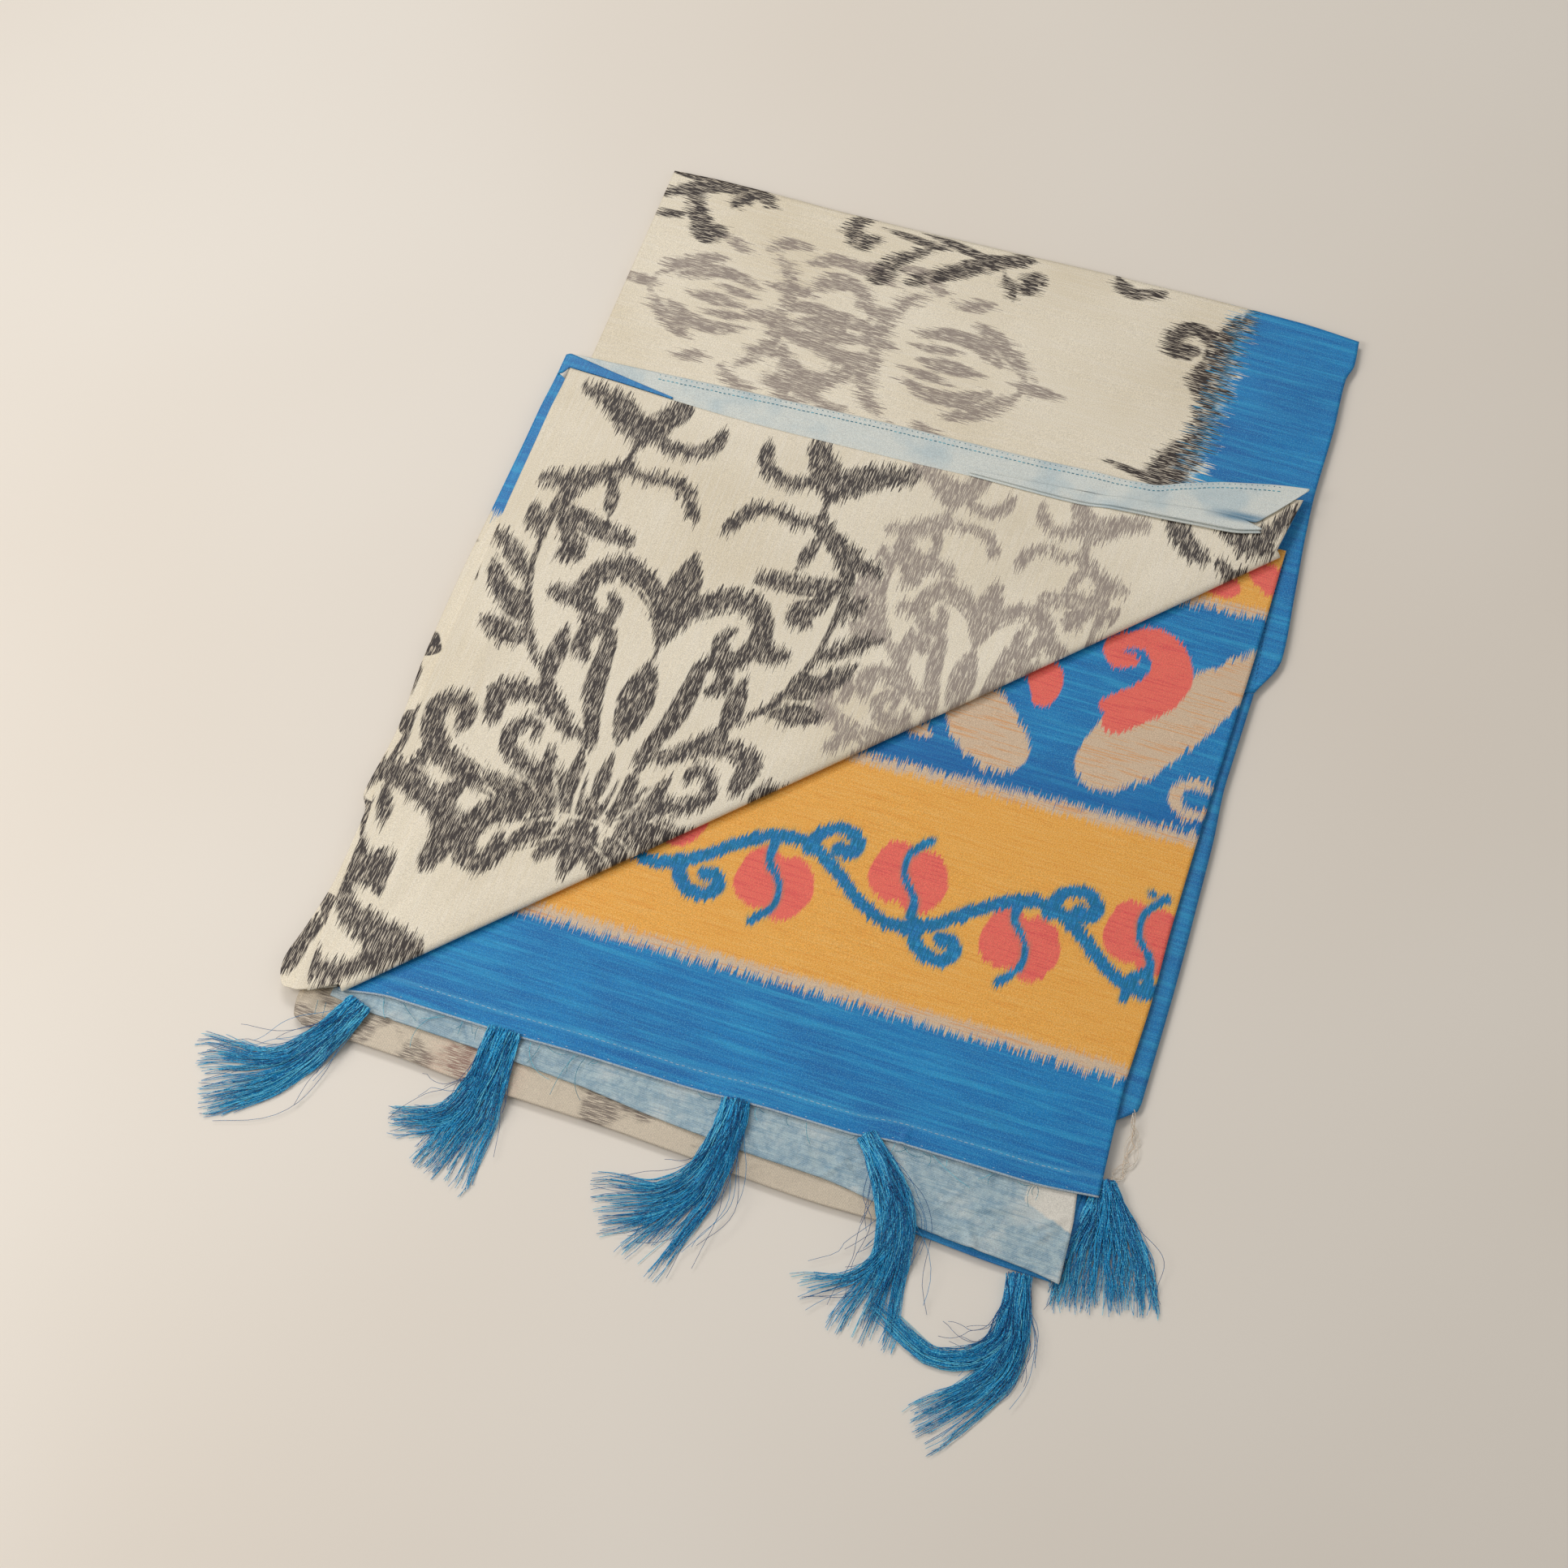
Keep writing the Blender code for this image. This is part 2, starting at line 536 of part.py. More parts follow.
def tassel(name, row):
    """A bundle of strands that leaves one tied head."""
    points = [Vector((p.x, p.y)) for p in row.path]
    stops = [k / (len(points) - 1) for k in range(len(points))]

    def centre(s):
        return Vector((through(stops, [p.x for p in points], s), through(stops, [p.y for p in points], s)))

    def heading(s):
        return (centre(min(s + 0.02, 1)) - centre(max(s - 0.02, 0))).normalized()

    def lowest(x, y, s):
        if row.head_height is None:
            return rest_height(x, y)
        return row.head_height + (FLOOR_CLEAR - row.head_height) * smooth(s / 0.35)

    random.seed(row.seed)
    width = row.widths[0].width
    bm = bmesh.new()
    number = bm.faces.layers.int.new("strand")
    bmesh.ops.create_grid(bm, x_segments=STRAND_COLUMNS, y_segments=STRAND_ROWS, size=0.5)
    bmesh.ops.triangulate(bm, faces=bm.faces)
    ways = heading(0)
    side = Vector((-ways.y, ways.x))
    base = centre(0)
    floor = lowest(base.x, base.y, 0)
    local = {}
    for vert in bm.verts:
        local[vert] = (vert.co.x * width, (vert.co.y + 0.5) * HEAD_HEIGHT)
    for vert, (across, up) in local.items():
        at = base + side * across
        vert.co = (at.x, at.y, floor + up)
    front = list(bm.faces)
    solid = bmesh.ops.extrude_face_region(bm, geom=front, use_keep_orig=True)
    back = [item for item in solid["geom"] if isinstance(item, bmesh.types.BMVert)]
    for vert in back:
        vert.co -= Vector((ways.x, ways.y, 0)) * HEAD_LENGTH
    bmesh.ops.recalc_face_normals(bm, faces=bm.faces)
    bmesh.ops.inset_individual(bm, faces=front, thickness=STRAND_GAP, depth=0)
    strands = []
    for k, face in enumerate(front):
        face[number] = k + 1
        middle = face.calc_center_median()
        across = (middle.xy - base).dot(side)
        strands.append((across / width, (middle.z - floor) / HEAD_HEIGHT, 1 - 0.16 * random.random()))

    def strand_at(k, s):
        across, up, reach = strands[k]
        s = s * reach
        spread = through([w.share for w in row.widths], [w.width for w in row.widths], s)
        way = heading(s)
        at = centre(s) + Vector((-way.y, way.x)) * (across * spread)
        flat = 1 - (1 - STRAND_FLAT) * smooth(s / 0.7)
        lift = HEAD_HEIGHT * flat * up
        return Vector((at.x, at.y, lowest(at.x, at.y, s) + lift))

    def frame(k, s):
        way = strand_at(k, min(s + 0.03, 1)) - strand_at(k, max(s - 0.03, 0))
        way.normalize()
        aside = Vector((-way.y, way.x, 0)).normalized()
        return Matrix((aside, way.cross(aside), way)).transposed()

    current = {face[number] - 1: face for face in bm.faces if face[number]}
    turned = {k: frame(k, 0) for k in current}
    middle = {k: face.calc_center_median() for k, face in current.items()}
    for step in range(1, STRAND_STEPS + 1):
        made = bmesh.ops.extrude_discrete_faces(bm, faces=list(current.values()))
        current = {face[number] - 1: face for face in made["faces"]}
        s = step / STRAND_STEPS
        shrink = 1 - (1 - STRAND_TIP) * s
        before = 1 - (1 - STRAND_TIP) * (step - 1) / STRAND_STEPS
        for k, face in current.items():
            now = strand_at(k, s)
            turn = frame(k, s)
            change = turn @ turned[k].inverted() * (shrink / before)
            for vert in face.verts:
                vert.co = now + change @ (vert.co - middle[k])
            turned[k] = turn
            middle[k] = now
    add_object(name, bm, THREAD, 0.35)


def main():
    clear_scene()
    folded_layers()
    body_panels()
    end_panels()
    turned_corner()
    corner_layers()
    for name, row in TASSELS.items():
        tassel(name, row)


main()
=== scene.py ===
import math
import random

import bmesh
import bpy
import numpy as np
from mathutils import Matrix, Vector


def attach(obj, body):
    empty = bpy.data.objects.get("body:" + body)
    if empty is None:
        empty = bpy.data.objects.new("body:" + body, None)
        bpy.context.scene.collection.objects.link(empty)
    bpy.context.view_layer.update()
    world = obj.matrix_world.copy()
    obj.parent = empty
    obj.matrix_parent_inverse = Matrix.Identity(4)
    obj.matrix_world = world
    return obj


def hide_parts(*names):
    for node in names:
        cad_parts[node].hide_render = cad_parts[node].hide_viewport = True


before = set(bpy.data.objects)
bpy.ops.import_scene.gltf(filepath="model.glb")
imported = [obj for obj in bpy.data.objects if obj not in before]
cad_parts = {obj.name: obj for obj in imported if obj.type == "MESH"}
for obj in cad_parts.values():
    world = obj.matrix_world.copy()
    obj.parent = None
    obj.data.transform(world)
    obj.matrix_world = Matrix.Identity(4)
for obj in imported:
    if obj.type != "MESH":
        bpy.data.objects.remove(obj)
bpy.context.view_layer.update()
print("frame loaded:", len(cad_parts), "nodes")

# heights of the layers, as in the solids
cloth = {"pile": 0.0036, "wall": 0.0011, "gap": 0.00035, "thin": 0.0008}
cloth["step"] = cloth["wall"] + cloth["gap"]

# the diagonal that the corner is turned back over
diagonal = {
    "start": np.array([-0.254, -0.3685]), "end": np.array([0.273, 0.1905]),
    "round": 0.0048, "lift": 0.0029, "liftAt": 0.0125, "liftWide": 0.02,
}
diagonal["run"] = diagonal["end"] - diagonal["start"]
ahead = diagonal["run"] / np.linalg.norm(diagonal["run"])
diagonal["inward"] = np.array([-ahead[1], ahead[0]])


def smoothStep(t):
    t = np.clip(t, 0.0, 1.0)
    return t * t * (3 - 2 * t)


def through(places, values, at):  # a smooth curve through the values, never past them
    places, values = np.array(places, float), np.array(values, float)
    steps = np.diff(places)
    rates = np.diff(values) / steps
    tangents = np.zeros(len(places))
    tangents[0], tangents[-1] = rates[0], rates[-1]
    product, total = rates[:-1] * rates[1:], rates[:-1] + rates[1:]
    tangents[1:-1] = np.where(product > 0, 2 * product / np.where(total == 0, 1, total), 0)
    at = np.clip(at, places[0], places[-1])
    i = np.clip(np.searchsorted(places, at, side="right") - 1, 0, len(steps) - 1)
    h = steps[i]
    t = (at - places[i]) / h
    start = (1 + 2 * t) * (1 - t) ** 2 * values[i] + t * (1 - t) ** 2 * h * tangents[i]
    return start + t * t * (3 - 2 * t) * values[i + 1] + t * t * (t - 1) * h * tangents[i + 1]


def alongEdge(table, share, column=1):
    return through([row[0] for row in table], [row[column] for row in table], share)


def pairAlong(table, share):
    return np.array([alongEdge(table, share, column) for column in (1, 2)])


def edgeOf(table):
    return lambda share: alongEdge(table, share)


def level(number):
    return cloth["pile"] + cloth["gap"] + cloth["wall"] / 2 + (number - 1) * cloth["step"]


def turnedFrom(x, y, cx, cy, turn):  # distances ahead of a centre and beside it
    dx, dy = x - cx, y - cy
    return dx * math.cos(turn) + dy * math.sin(turn), dy * math.cos(turn) - dx * math.sin(turn)


def creases(table, x, y):  # each row: x, y, heading, half length, half width, height
    height = np.zeros_like(x)
    for cx, cy, heading, halfLength, halfWidth, tall in table:
        ahead, aside = turnedFrom(x, y, cx, cy, math.radians(heading))
        height += tall * (1 - smoothStep(np.abs(ahead) / halfLength)) * np.exp(-((aside / halfWidth) ** 2))
    return height


def softWaves(x, y, seed, size, tall):  # low uneven swells, never below zero
    pick = random.Random(seed)
    total = np.zeros_like(x)
    for k in range(5):
        way = pick.uniform(0, math.pi)
        length = size * pick.uniform(0.6, 1.7)
        total += np.sin((x * math.cos(way) + y * math.sin(way)) / length + pick.uniform(0, 6.3))
    return tall * (0.5 + total / 7).clip(0, 1)


def inside(x, y):  # how far a place lies inward of the diagonal
    (sx, sy), (ix, iy) = diagonal["start"], diagonal["inward"]
    return (x - sx) * ix + (y - sy) * iy


def palluBack(x):  # the end panel's hidden back edge, further back on the right
    return 0.1 + 0.1 * smoothStep((x - 0.12) / 0.12)


def carried(x, y):  # top of what carries the turned back corner
    held = 0.055 * smoothStep((x - 0.09) / 0.07)
    drop = smoothStep((y - palluBack(x) - 0.038 - held) / 0.034)
    return level(3) + cloth["wall"] / 2 - 2 * cloth["step"] * drop


def restingOn(x, y):  # middle of a sheet that lies there
    return carried(x, y) + cloth["gap"] + cloth["wall"] / 2


def droop(x, y):  # how far the corner hangs over the left edge, fading towards the back
    fade = 1 - smoothStep((y - 0.1) / 0.065)
    return 0.002 * fade * smoothStep((-0.2845 - x) / 0.02)


def innerHeight(x, y):  # the inner layer, a step higher close to the fold
    near = 1 - smoothStep((inside(x, y) - 0.045) / 0.03)
    return restingOn(x, y) + cloth["step"] * near - droop(x, y)


flapCreases = [
    (-0.25, -0.25, 84, 0.09, 0.009, 0.0012), (-0.262, -0.06, 88, 0.11, 0.008, 0.0009),
    (-0.12, -0.06, 66, 0.14, 0.022, 0.0009), (0.08, 0.12, 40, 0.11, 0.018, 0.001),
    (-0.18, 0.12, 12, 0.08, 0.016, 0.0008), (-0.264, 0.158, 50, 0.07, 0.022, 0.0009),
    (-0.272, 0.01, 89, 0.13, 0.0035, 0.0005), (-0.258, 0.03, 90, 0.12, 0.003, 0.0005),
    (-0.236, -0.3, 70, 0.06, 0.006, 0.0008), (-0.205, -0.262, 58, 0.07, 0.007, 0.0007),
    (-0.15, -0.17, 52, 0.08, 0.009, 0.0006), (0.02, 0.01, 46, 0.09, 0.01, 0.0007),
    (0.13, 0.095, 44, 0.06, 0.008, 0.0006), (-0.06, 0.15, 4, 0.07, 0.01, 0.0005),
]
backCreases = [
    (-0.15, 0.3, 8, 0.11, 0.02, 0.0009), (0.09, 0.33, -6, 0.13, 0.026, 0.0011),
    (0.19, 0.29, 84, 0.05, 0.014, 0.0007), (-0.06, 0.365, 3, 0.12, 0.012, 0.0008),
    (-0.2, 0.35, -3, 0.07, 0.008, 0.0006), (0.01, 0.262, 2, 0.1, 0.009, 0.0005),
    (0.235, 0.345, 4, 0.04, 0.006, 0.0007), (0.24, 0.3, 3, 0.045, 0.006, 0.0007),
    (0.24, 0.256, 2, 0.04, 0.005, 0.0005), (0.12, 0.39, -4, 0.09, 0.006, 0.0006),
]
palluCreases = [
    (0.11, -0.18, 4, 0.12, 0.022, 0.0008), (0.19, -0.29, -2, 0.08, 0.014, 0.0008),
    (-0.03, -0.31, 2, 0.11, 0.012, 0.0006), (0.23, -0.06, 88, 0.06, 0.012, 0.0006),
    (0.15, -0.346, 88, 0.011, 0.0013, 0.002), (0.06, -0.24, 1, 0.09, 0.007, 0.0004),
    (0.21, -0.13, 2, 0.07, 0.008, 0.0005), (0.24, 0.02, 3, 0.05, 0.007, 0.0005),
]


def flapHeight(x, y):
    past = inside(x, y)
    lift = diagonal["lift"] * np.exp(-(((past - diagonal["liftAt"]) / diagonal["liftWide"]) ** 2))
    swell = softWaves(x, y, 3, 0.021, 0.0007) * smoothStep(past / 0.05) * smoothStep((0.175 - y) / 0.03)
    swell = swell * smoothStep((x + 0.285) / 0.02)
    return innerHeight(x, y) + droop(x, y) + cloth["step"] + lift + creases(flapCreases, x, y) + swell


# colours, given as they look in daylight
def tone(red, green, blue):
    light = [((c / 255 + 0.055) / 1.055) ** 2.4 if c > 10 else c / 3295 for c in (red, green, blue)]
    return (*light, 1.0)


ink = {
    "cream": (238, 229, 209), "creamWarm": (212, 197, 166), "creamLight": (244, 238, 226),
    "charcoal": (46, 36, 33), "taupe": (124, 108, 97), "grey": (134, 120, 114),
    "greyLight": (176, 164, 153), "blue": (0, 124, 194), "blueDark": (0, 94, 168),
    "blueLight": (46, 168, 218), "bluePale": (90, 180, 222), "teal": (2, 112, 154),
    "green": (84, 138, 112), "amber": (245, 180, 80), "amberDeep": (228, 146, 52),
    "amberLight": (250, 206, 128), "coral": (242, 108, 96), "coralDeep": (224, 76, 84),
    "coralLight": (248, 142, 118), "beige": (222, 198, 170), "beigeDeep": (196, 164, 136),
    "wrongSide": (172, 198, 208), "wrongSideLight": (208, 218, 219),
    "wrongSideDeep": (122, 160, 184), "hem": (228, 230, 222), "hemDeep": (168, 194, 206),
    "tan": (204, 190, 170), "tanDeep": (122, 110, 100), "threadBlue": (8, 162, 222),
    "threadLight": (124, 224, 246), "threadDark": (4, 98, 164), "strayDark": (6, 62, 122),
    "stitch": (16, 116, 142), "white": (232, 228, 218),
}
ink = {name: tone(*daylight) for name, daylight in ink.items()}

# small helpers for the material nodes, which go into the tree that is being built
build = {"tree": None}


def feed(made, inputs):
    for key, value in inputs.items():
        if isinstance(value, bpy.types.NodeSocket):
            build["tree"].links.new(value, made.inputs[key])
        else:
            made.inputs[key].default_value = value
    return made


def addNode(kind, inputs=None, **settings):
    made = build["tree"].nodes.new(kind)
    for key, value in settings.items():
        setattr(made, key, value)
    return feed(made, inputs or {})


def calc(operation, *values):
    return addNode("ShaderNodeMath", dict(enumerate(values)), operation=operation).outputs[0]


def plus(first, second):
    return calc("ADD", first, second)


def minus(first, second):
    return calc("SUBTRACT", first, second)


def times(first, second):
    return calc("MULTIPLY", first, second)


def ramp(value, low, high, toLow=0.0, toHigh=1.0):
    ends = {"Value": value, "From Min": low, "From Max": high, "To Min": toLow, "To Max": toHigh}
    return addNode("ShaderNodeMapRange", ends, interpolation_type="SMOOTHSTEP").outputs["Result"]


def noise(at, scale, detail=3.0, roughness=0.5):
    values = {"Vector": at, "Scale": scale, "Detail": detail, "Roughness": roughness}
    return addNode("ShaderNodeTexNoise", values).outputs["Fac"]


def stretchedNoise(across, along, fine, long, seed, detail=2.0):
    at = addNode("ShaderNodeCombineXYZ", {"X": times(across, fine), "Y": times(along, long), "Z": seed})
    return noise(at.outputs[0], 1.0, detail, 0.55)


def split(vector):
    return addNode("ShaderNodeSeparateXYZ", {0: vector}).outputs[:]


def bumped(height, strength, distance):
    values = {"Height": height, "Strength": strength, "Distance": distance}
    return addNode("ShaderNodeBump", values).outputs["Normal"]


def blend(amount, first, second):
    return addNode("ShaderNodeMix", {0: amount, 6: first, 7: second}, data_type="RGBA").outputs[2]


def tinted(colour, *rows):  # each row: ink, value, where the ink starts, where it is full, its strength
    for name, value, low, high, strength in rows:
        colour = blend(ramp(value, low, high, 0.0, strength), colour, ink[name])
    return colour


def newGroup(name, inputs, outputs):
    tree = build["tree"] = bpy.data.node_groups.new(name, "ShaderNodeTree")
    for label in inputs + outputs:
        kind = "NodeSocketVector" if label in ("Sample", "Vector") else "NodeSocketFloat"
        tree.interface.new_socket(label, in_out="INPUT" if label in inputs else "OUTPUT", socket_type=kind)
    return tree, tree.nodes.new("NodeGroupInput").outputs, tree.nodes.new("NodeGroupOutput")


def buildThreads():
    tree, given, out = newGroup(
        "tie dyed threads", ["Across", "Along", "Seed"], ["Shift", "Streak", "Slub", "Grain"])

    def threadNoise(fine, long, later, detail):
        return stretchedNoise(given["Across"], given["Along"], fine, long, plus(given["Seed"], later), detail)

    single, bundle = threadNoise(1450, 48, 0.0, 0.0), threadNoise(230, 26, 7.3, 1.0)
    # Shift is how far each thread has slipped, in shares of the reach
    feed(out, {
        "Shift": minus(plus(times(single, 3.6), bundle), 2.35),
        "Streak": ramp(threadNoise(1650, 95, 3.1, 1.0), 0.37, 0.57),
        "Slub": ramp(threadNoise(800, 30, 11.7, 3.0), 0.34, 0.68),
        "Grain": ramp(threadNoise(1500, 1100, 1.9, 2.0), 0.32, 0.68)})
    return tree


def buildInkMask():
    tree, given, out = newGroup("ink mask", ["Sample", "Shift", "Soft"], ["Mask"])
    behind, middle, ahead = split(given["Sample"])
    value = middle
    for side, moved in ((ahead, given["Shift"]), (behind, times(given["Shift"], -1.0))):
        share = calc("MINIMUM", calc("MAXIMUM", moved, 0.0), 1.0)
        value = plus(value, times(share, minus(side, middle)))
    feed(out, {"Mask": ramp(value, given["Soft"], times(given["Soft"], -1.0))})
    return tree


def buildWeave():
    tree, given, out = newGroup("satin weave", ["Vector", "Slub", "Grain"], ["Height", "Rough"])
    x, y = split(given["Vector"])[:2]
    rib = calc("SINE", times(plus(x, times(y, 0.62)), 9200.0))
    puckers = noise(given["Vector"], 95.0)
    height = plus(times(rib, 0.1), times(given["Grain"], 0.35))
    height = plus(plus(height, times(given["Slub"], 0.25)), puckers)
    feed(out, {"Height": height, "Rough": plus(times(given["Grain"], 0.7), times(rib, 0.3))})
    return tree


threadsGroup, inkGroup, weaveGroup = buildThreads(), buildInkMask(), buildWeave()
finish = {}


def newFinish(key, name):
    finish[key] = bpy.data.materials.new(name)
    finish[key].use_nodes = True
    build["tree"] = finish[key].node_tree
    coords = addNode("ShaderNodeTexCoord").outputs["Object"]
    return [coords] + split(coords)[:2]


def feedShader(inputs):
    feed(build["tree"].nodes["Principled BSDF"], inputs)


def threadsAt(across, along, seed):
    given = {"Across": across, "Along": along, "Seed": seed}
    return addNode("ShaderNodeGroup", given, node_tree=threadsGroup).outputs


def inkAt(name, shift, soft=0.0008):
    sample = addNode("ShaderNodeAttribute", attribute_name=name).outputs["Vector"]
    given = {"Sample": sample, "Shift": shift, "Soft": soft}
    return addNode("ShaderNodeGroup", given, node_tree=inkGroup).outputs["Mask"]


def edgeAt(distance, shift, reach, soft=0.001):  # 1 where the shifted distance is above zero
    return ramp(plus(distance, times(shift, reach)), -soft, soft)


def clothFinish(coords, colour, threads, sheen, bump, rough=0.4, gloss=0.5):
    given = {"Vector": coords, "Slub": threads["Slub"], "Grain": threads["Grain"]}
    weave = addNode("ShaderNodeGroup", given, node_tree=weaveGroup).outputs
    speck = ramp(noise(coords, 1500.0, 2.0, 0.7), 0.32, 0.68, 0.86, 1.15)
    speckled = addNode("ShaderNodeHueSaturation", {"Value": speck, "Color": colour})
    feedShader({
        "Base Color": speckled.outputs["Color"], "Normal": bumped(weave["Height"], bump, 0.0006),
        "Roughness": ramp(weave["Rough"], 0.0, 1.0, rough, rough + 0.16), "Specular IOR Level": gloss,
        "Sheen Weight": sheen, "Sheen Roughness": 0.35})


def creamGround(coords, threads):
    return tinted(
        ink["cream"], ("creamWarm", noise(coords, 7.0), 0.35, 0.75, 0.55),
        ("creamLight", threads["Slub"], 0.2, 1.0, 0.3), ("creamWarm", threads["Grain"], 0.45, 1.0, 0.4))


def inked(colour, mask, threads, dark="charcoal", pale="taupe"):
    body = blend(ramp(threads["Streak"], 0.0, 0.5), ink[pale], ink[dark])
    return blend(times(mask, ramp(threads["Streak"], 0.0, 0.4, 0.38, 1.0)), colour, body)


def printedCream(coords, threads):
    grey = times(inkAt("greyInk", threads["Shift"]), 0.85)
    colour = inked(creamGround(coords, threads), grey, threads, "grey", "greyLight")
    return inked(colour, inkAt("charcoalInk", threads["Shift"]), threads)


def spottedCream(coords, threads, size, start):
    return inked(creamGround(coords, threads), ramp(noise(coords, size, 1.0), start, 0.6), threads)


def blueGround(coords, threads):
    x, y = split(coords)[:2]
    bands = stretchedNoise(y, x, 190, 8, 5.0)
    return tinted(
        ink["blue"], ("blueDark", noise(coords, 16.0), 0.35, 0.72, 0.6), ("blueLight", bands, 0.5, 0.68, 0.5),
        ("blueDark", bands, 0.46, 0.32, 0.5), ("blueLight", threads["Slub"], 0.5, 1.0, 0.28),
        ("blueDark", threads["Slub"], 0.3, 0.0, 0.35), ("bluePale", threads["Grain"], 0.5, 1.0, 0.45))


def bordered(colour, coords, threads, distance, reach):
    return blend(edgeAt(distance, threads["Shift"], reach), colour, blueGround(coords, threads))


def makeFlapFinish():
    coords, x, y = newFinish("flap", "printed satin, turned back corner")
    threads = threadsAt(x, y, 1.0)
    clothFinish(coords, printedCream(coords, threads), threads, sheen=0.1, bump=0.45, rough=0.34, gloss=0.55)


def makeBackFinish():
    coords, x, y = newFinish("back", "printed satin, back panel")
    threads = threadsAt(y, x, 4.0)
    fringe = edgeAt(minus(x, 0.19), times(threads["Shift"], 1.6), 0.0105)
    colour = blend(times(fringe, 0.65), printedCream(coords, threads), ink["blueLight"])
    colour = bordered(colour, coords, threads, minus(x, 0.1965), 0.0105)
    clothFinish(coords, colour, threads, sheen=0.04, bump=0.35, gloss=0.38)


def makePalluFinish():
    coords, x, y = newFinish("pallu", "printed satin, end panel")
    feather, weft = threadsAt(x, y, 2.0), threadsAt(y, x, 6.0)
    shift, slub, grain = feather["Shift"], weft["Slub"], weft["Grain"]
    blue = blueGround(coords, weft)
    amber = tinted(
        ink["amber"], ("amberLight", slub, 0.55, 1.0, 0.3), ("amberDeep", slub, 0.16, 0.0, 0.45),
        ("amberDeep", grain, 0.5, 1.0, 0.65), ("amberLight", grain, 0.4, 0.0, 0.45))
    coral = tinted(ink["coral"], ("coralDeep", slub, 0.3, 0.0, 0.65), ("coralLight", grain, 0.45, 1.0, 0.55))
    beige = tinted(ink["beige"], ("beigeDeep", grain, 0.4, 1.0, 0.6), ("amberDeep", slub, 0.3, 0.0, 0.5))
    # distances above the edges of the three pale lines
    low = plus(y, calc("MULTIPLY_ADD", x, -0.03, 0.265))
    middle = plus(y, calc("MULTIPLY_ADD", x, -0.0447, 0.0785))
    high = plus(y, calc("MULTIPLY_ADD", x, -0.073, -0.115))
    deepBlue = blend(ramp(middle, 0.055, 0.01, 0.0, 0.55), blue, ink["blueDark"])
    bands = (
        (low, 0.0062, 0.001, beige), (minus(low, 0.0105), 0.004, 0.0022, amber),
        (middle, 0.004, 0.0022, beige), (minus(middle, 0.009), 0.0062, 0.001, deepBlue),
        (high, 0.0062, 0.001, beige), (minus(high, 0.0085), 0.004, 0.0022, amber))
    colour = blue
    for distance, reach, soft, band in bands:
        colour = blend(edgeAt(distance, shift, reach, soft), colour, band)
    colour = blend(inkAt("beigeInk", shift), colour, beige)
    colour = blend(inkAt("coralInk", shift), colour, coral)
    halo = inkAt("vineInk", times(shift, 1.4), 0.0035)
    colour = blend(times(halo, 0.8), colour, ink["green"])
    vine = blend(ramp(feather["Streak"], 0.2, 1.0), ink["teal"], blue)
    colour = blend(inkAt("vineInk", shift), colour, vine)
    above = addNode("ShaderNodeAttribute", attribute_name="edgeGap").outputs["Fac"]
    line = times(ramp(above, 0.0016, 0.0008), ramp(grain, 0.0, 0.6, 0.45, 0.9))
    colour = blend(line, colour, ink["wrongSideLight"])
    fold = times(ramp(above, 0.0125, 0.0145), ramp(above, 0.0185, 0.0155, 0.0, 0.3))
    colour = blend(fold, colour, ink["bluePale"])
    clothFinish(coords, colour, weft, sheen=0.02, bump=0.45, rough=0.38, gloss=0.32)


def makeUnderFinish():
    coords, x, y = newFinish("under", "wrong side of the end panel")
    threads = threadsAt(y, x, 8.0)
    clouds, wide = noise(coords, 150.0, 5.0, 0.65), noise(coords, 30.0, 4.0, 0.6)
    twill = calc("SINE", times(minus(x, y), 3600.0))
    colour = tinted(
        ink["wrongSideDeep"], ("wrongSide", clouds, 0.34, 0.6, 1.0),
        ("wrongSideLight", wide, 0.5, 0.66, 0.75), ("wrongSideDeep", wide, 0.46, 0.32, 0.65),
        ("wrongSideLight", twill, -1.0, 1.0, 0.35), ("wrongSideDeep", threads["Slub"], 0.4, 1.0, 0.5))
    uneven = times(minus(clouds, 0.5), 0.005)
    low = plus(plus(y, uneven), times(minus(x, 0.25), 0.35))
    patch = times(ramp(plus(x, uneven), 0.2385, 0.241), ramp(low, -0.3672, -0.365))
    clothFinish(coords, blend(patch, colour, ink["white"]), threads, sheen=0.15, bump=0.7)


def makeBodyFinish():
    coords, x, y = newFinish("body", "printed satin, lower layer")
    threads = threadsAt(y, x, 10.0)
    streak = threads["Streak"]
    colour = tinted(ink["tan"], ("cream", calc("SINE", times(plus(x, y), 4200.0)), -1.0, 1.0, 0.4))
    faded = times(ramp(noise(coords, 22.0), 0.5, 0.58), streak)
    colour = blend(times(faded, ramp(x, 0.07, 0.02, 0.1, 0.95)), colour, ink["tanDeep"])
    pink = times(ramp(x, -0.19, -0.165), ramp(x, -0.105, -0.125))
    colour = blend(times(pink, times(streak, 0.14)), colour, ink["coralLight"])
    colour = bordered(colour, coords, threads, minus(x, 0.172), 0.008)
    clothFinish(coords, colour, threads, sheen=0.06, bump=0.45)


def makeInnerFinish():
    coords, x, y = newFinish("inner", "blue border of the inner layer")
    threads = threadsAt(x, y, 12.0)
    colour = spottedCream(coords, threads, 26.0, 0.58)
    colour = inked(colour, inkAt("charcoalInk", threads["Shift"]), threads)
    colour = bordered(colour, coords, threads, minus(y, 0.04), 0.009)
    clothFinish(coords, colour, threads, sheen=0.06, bump=0.35)


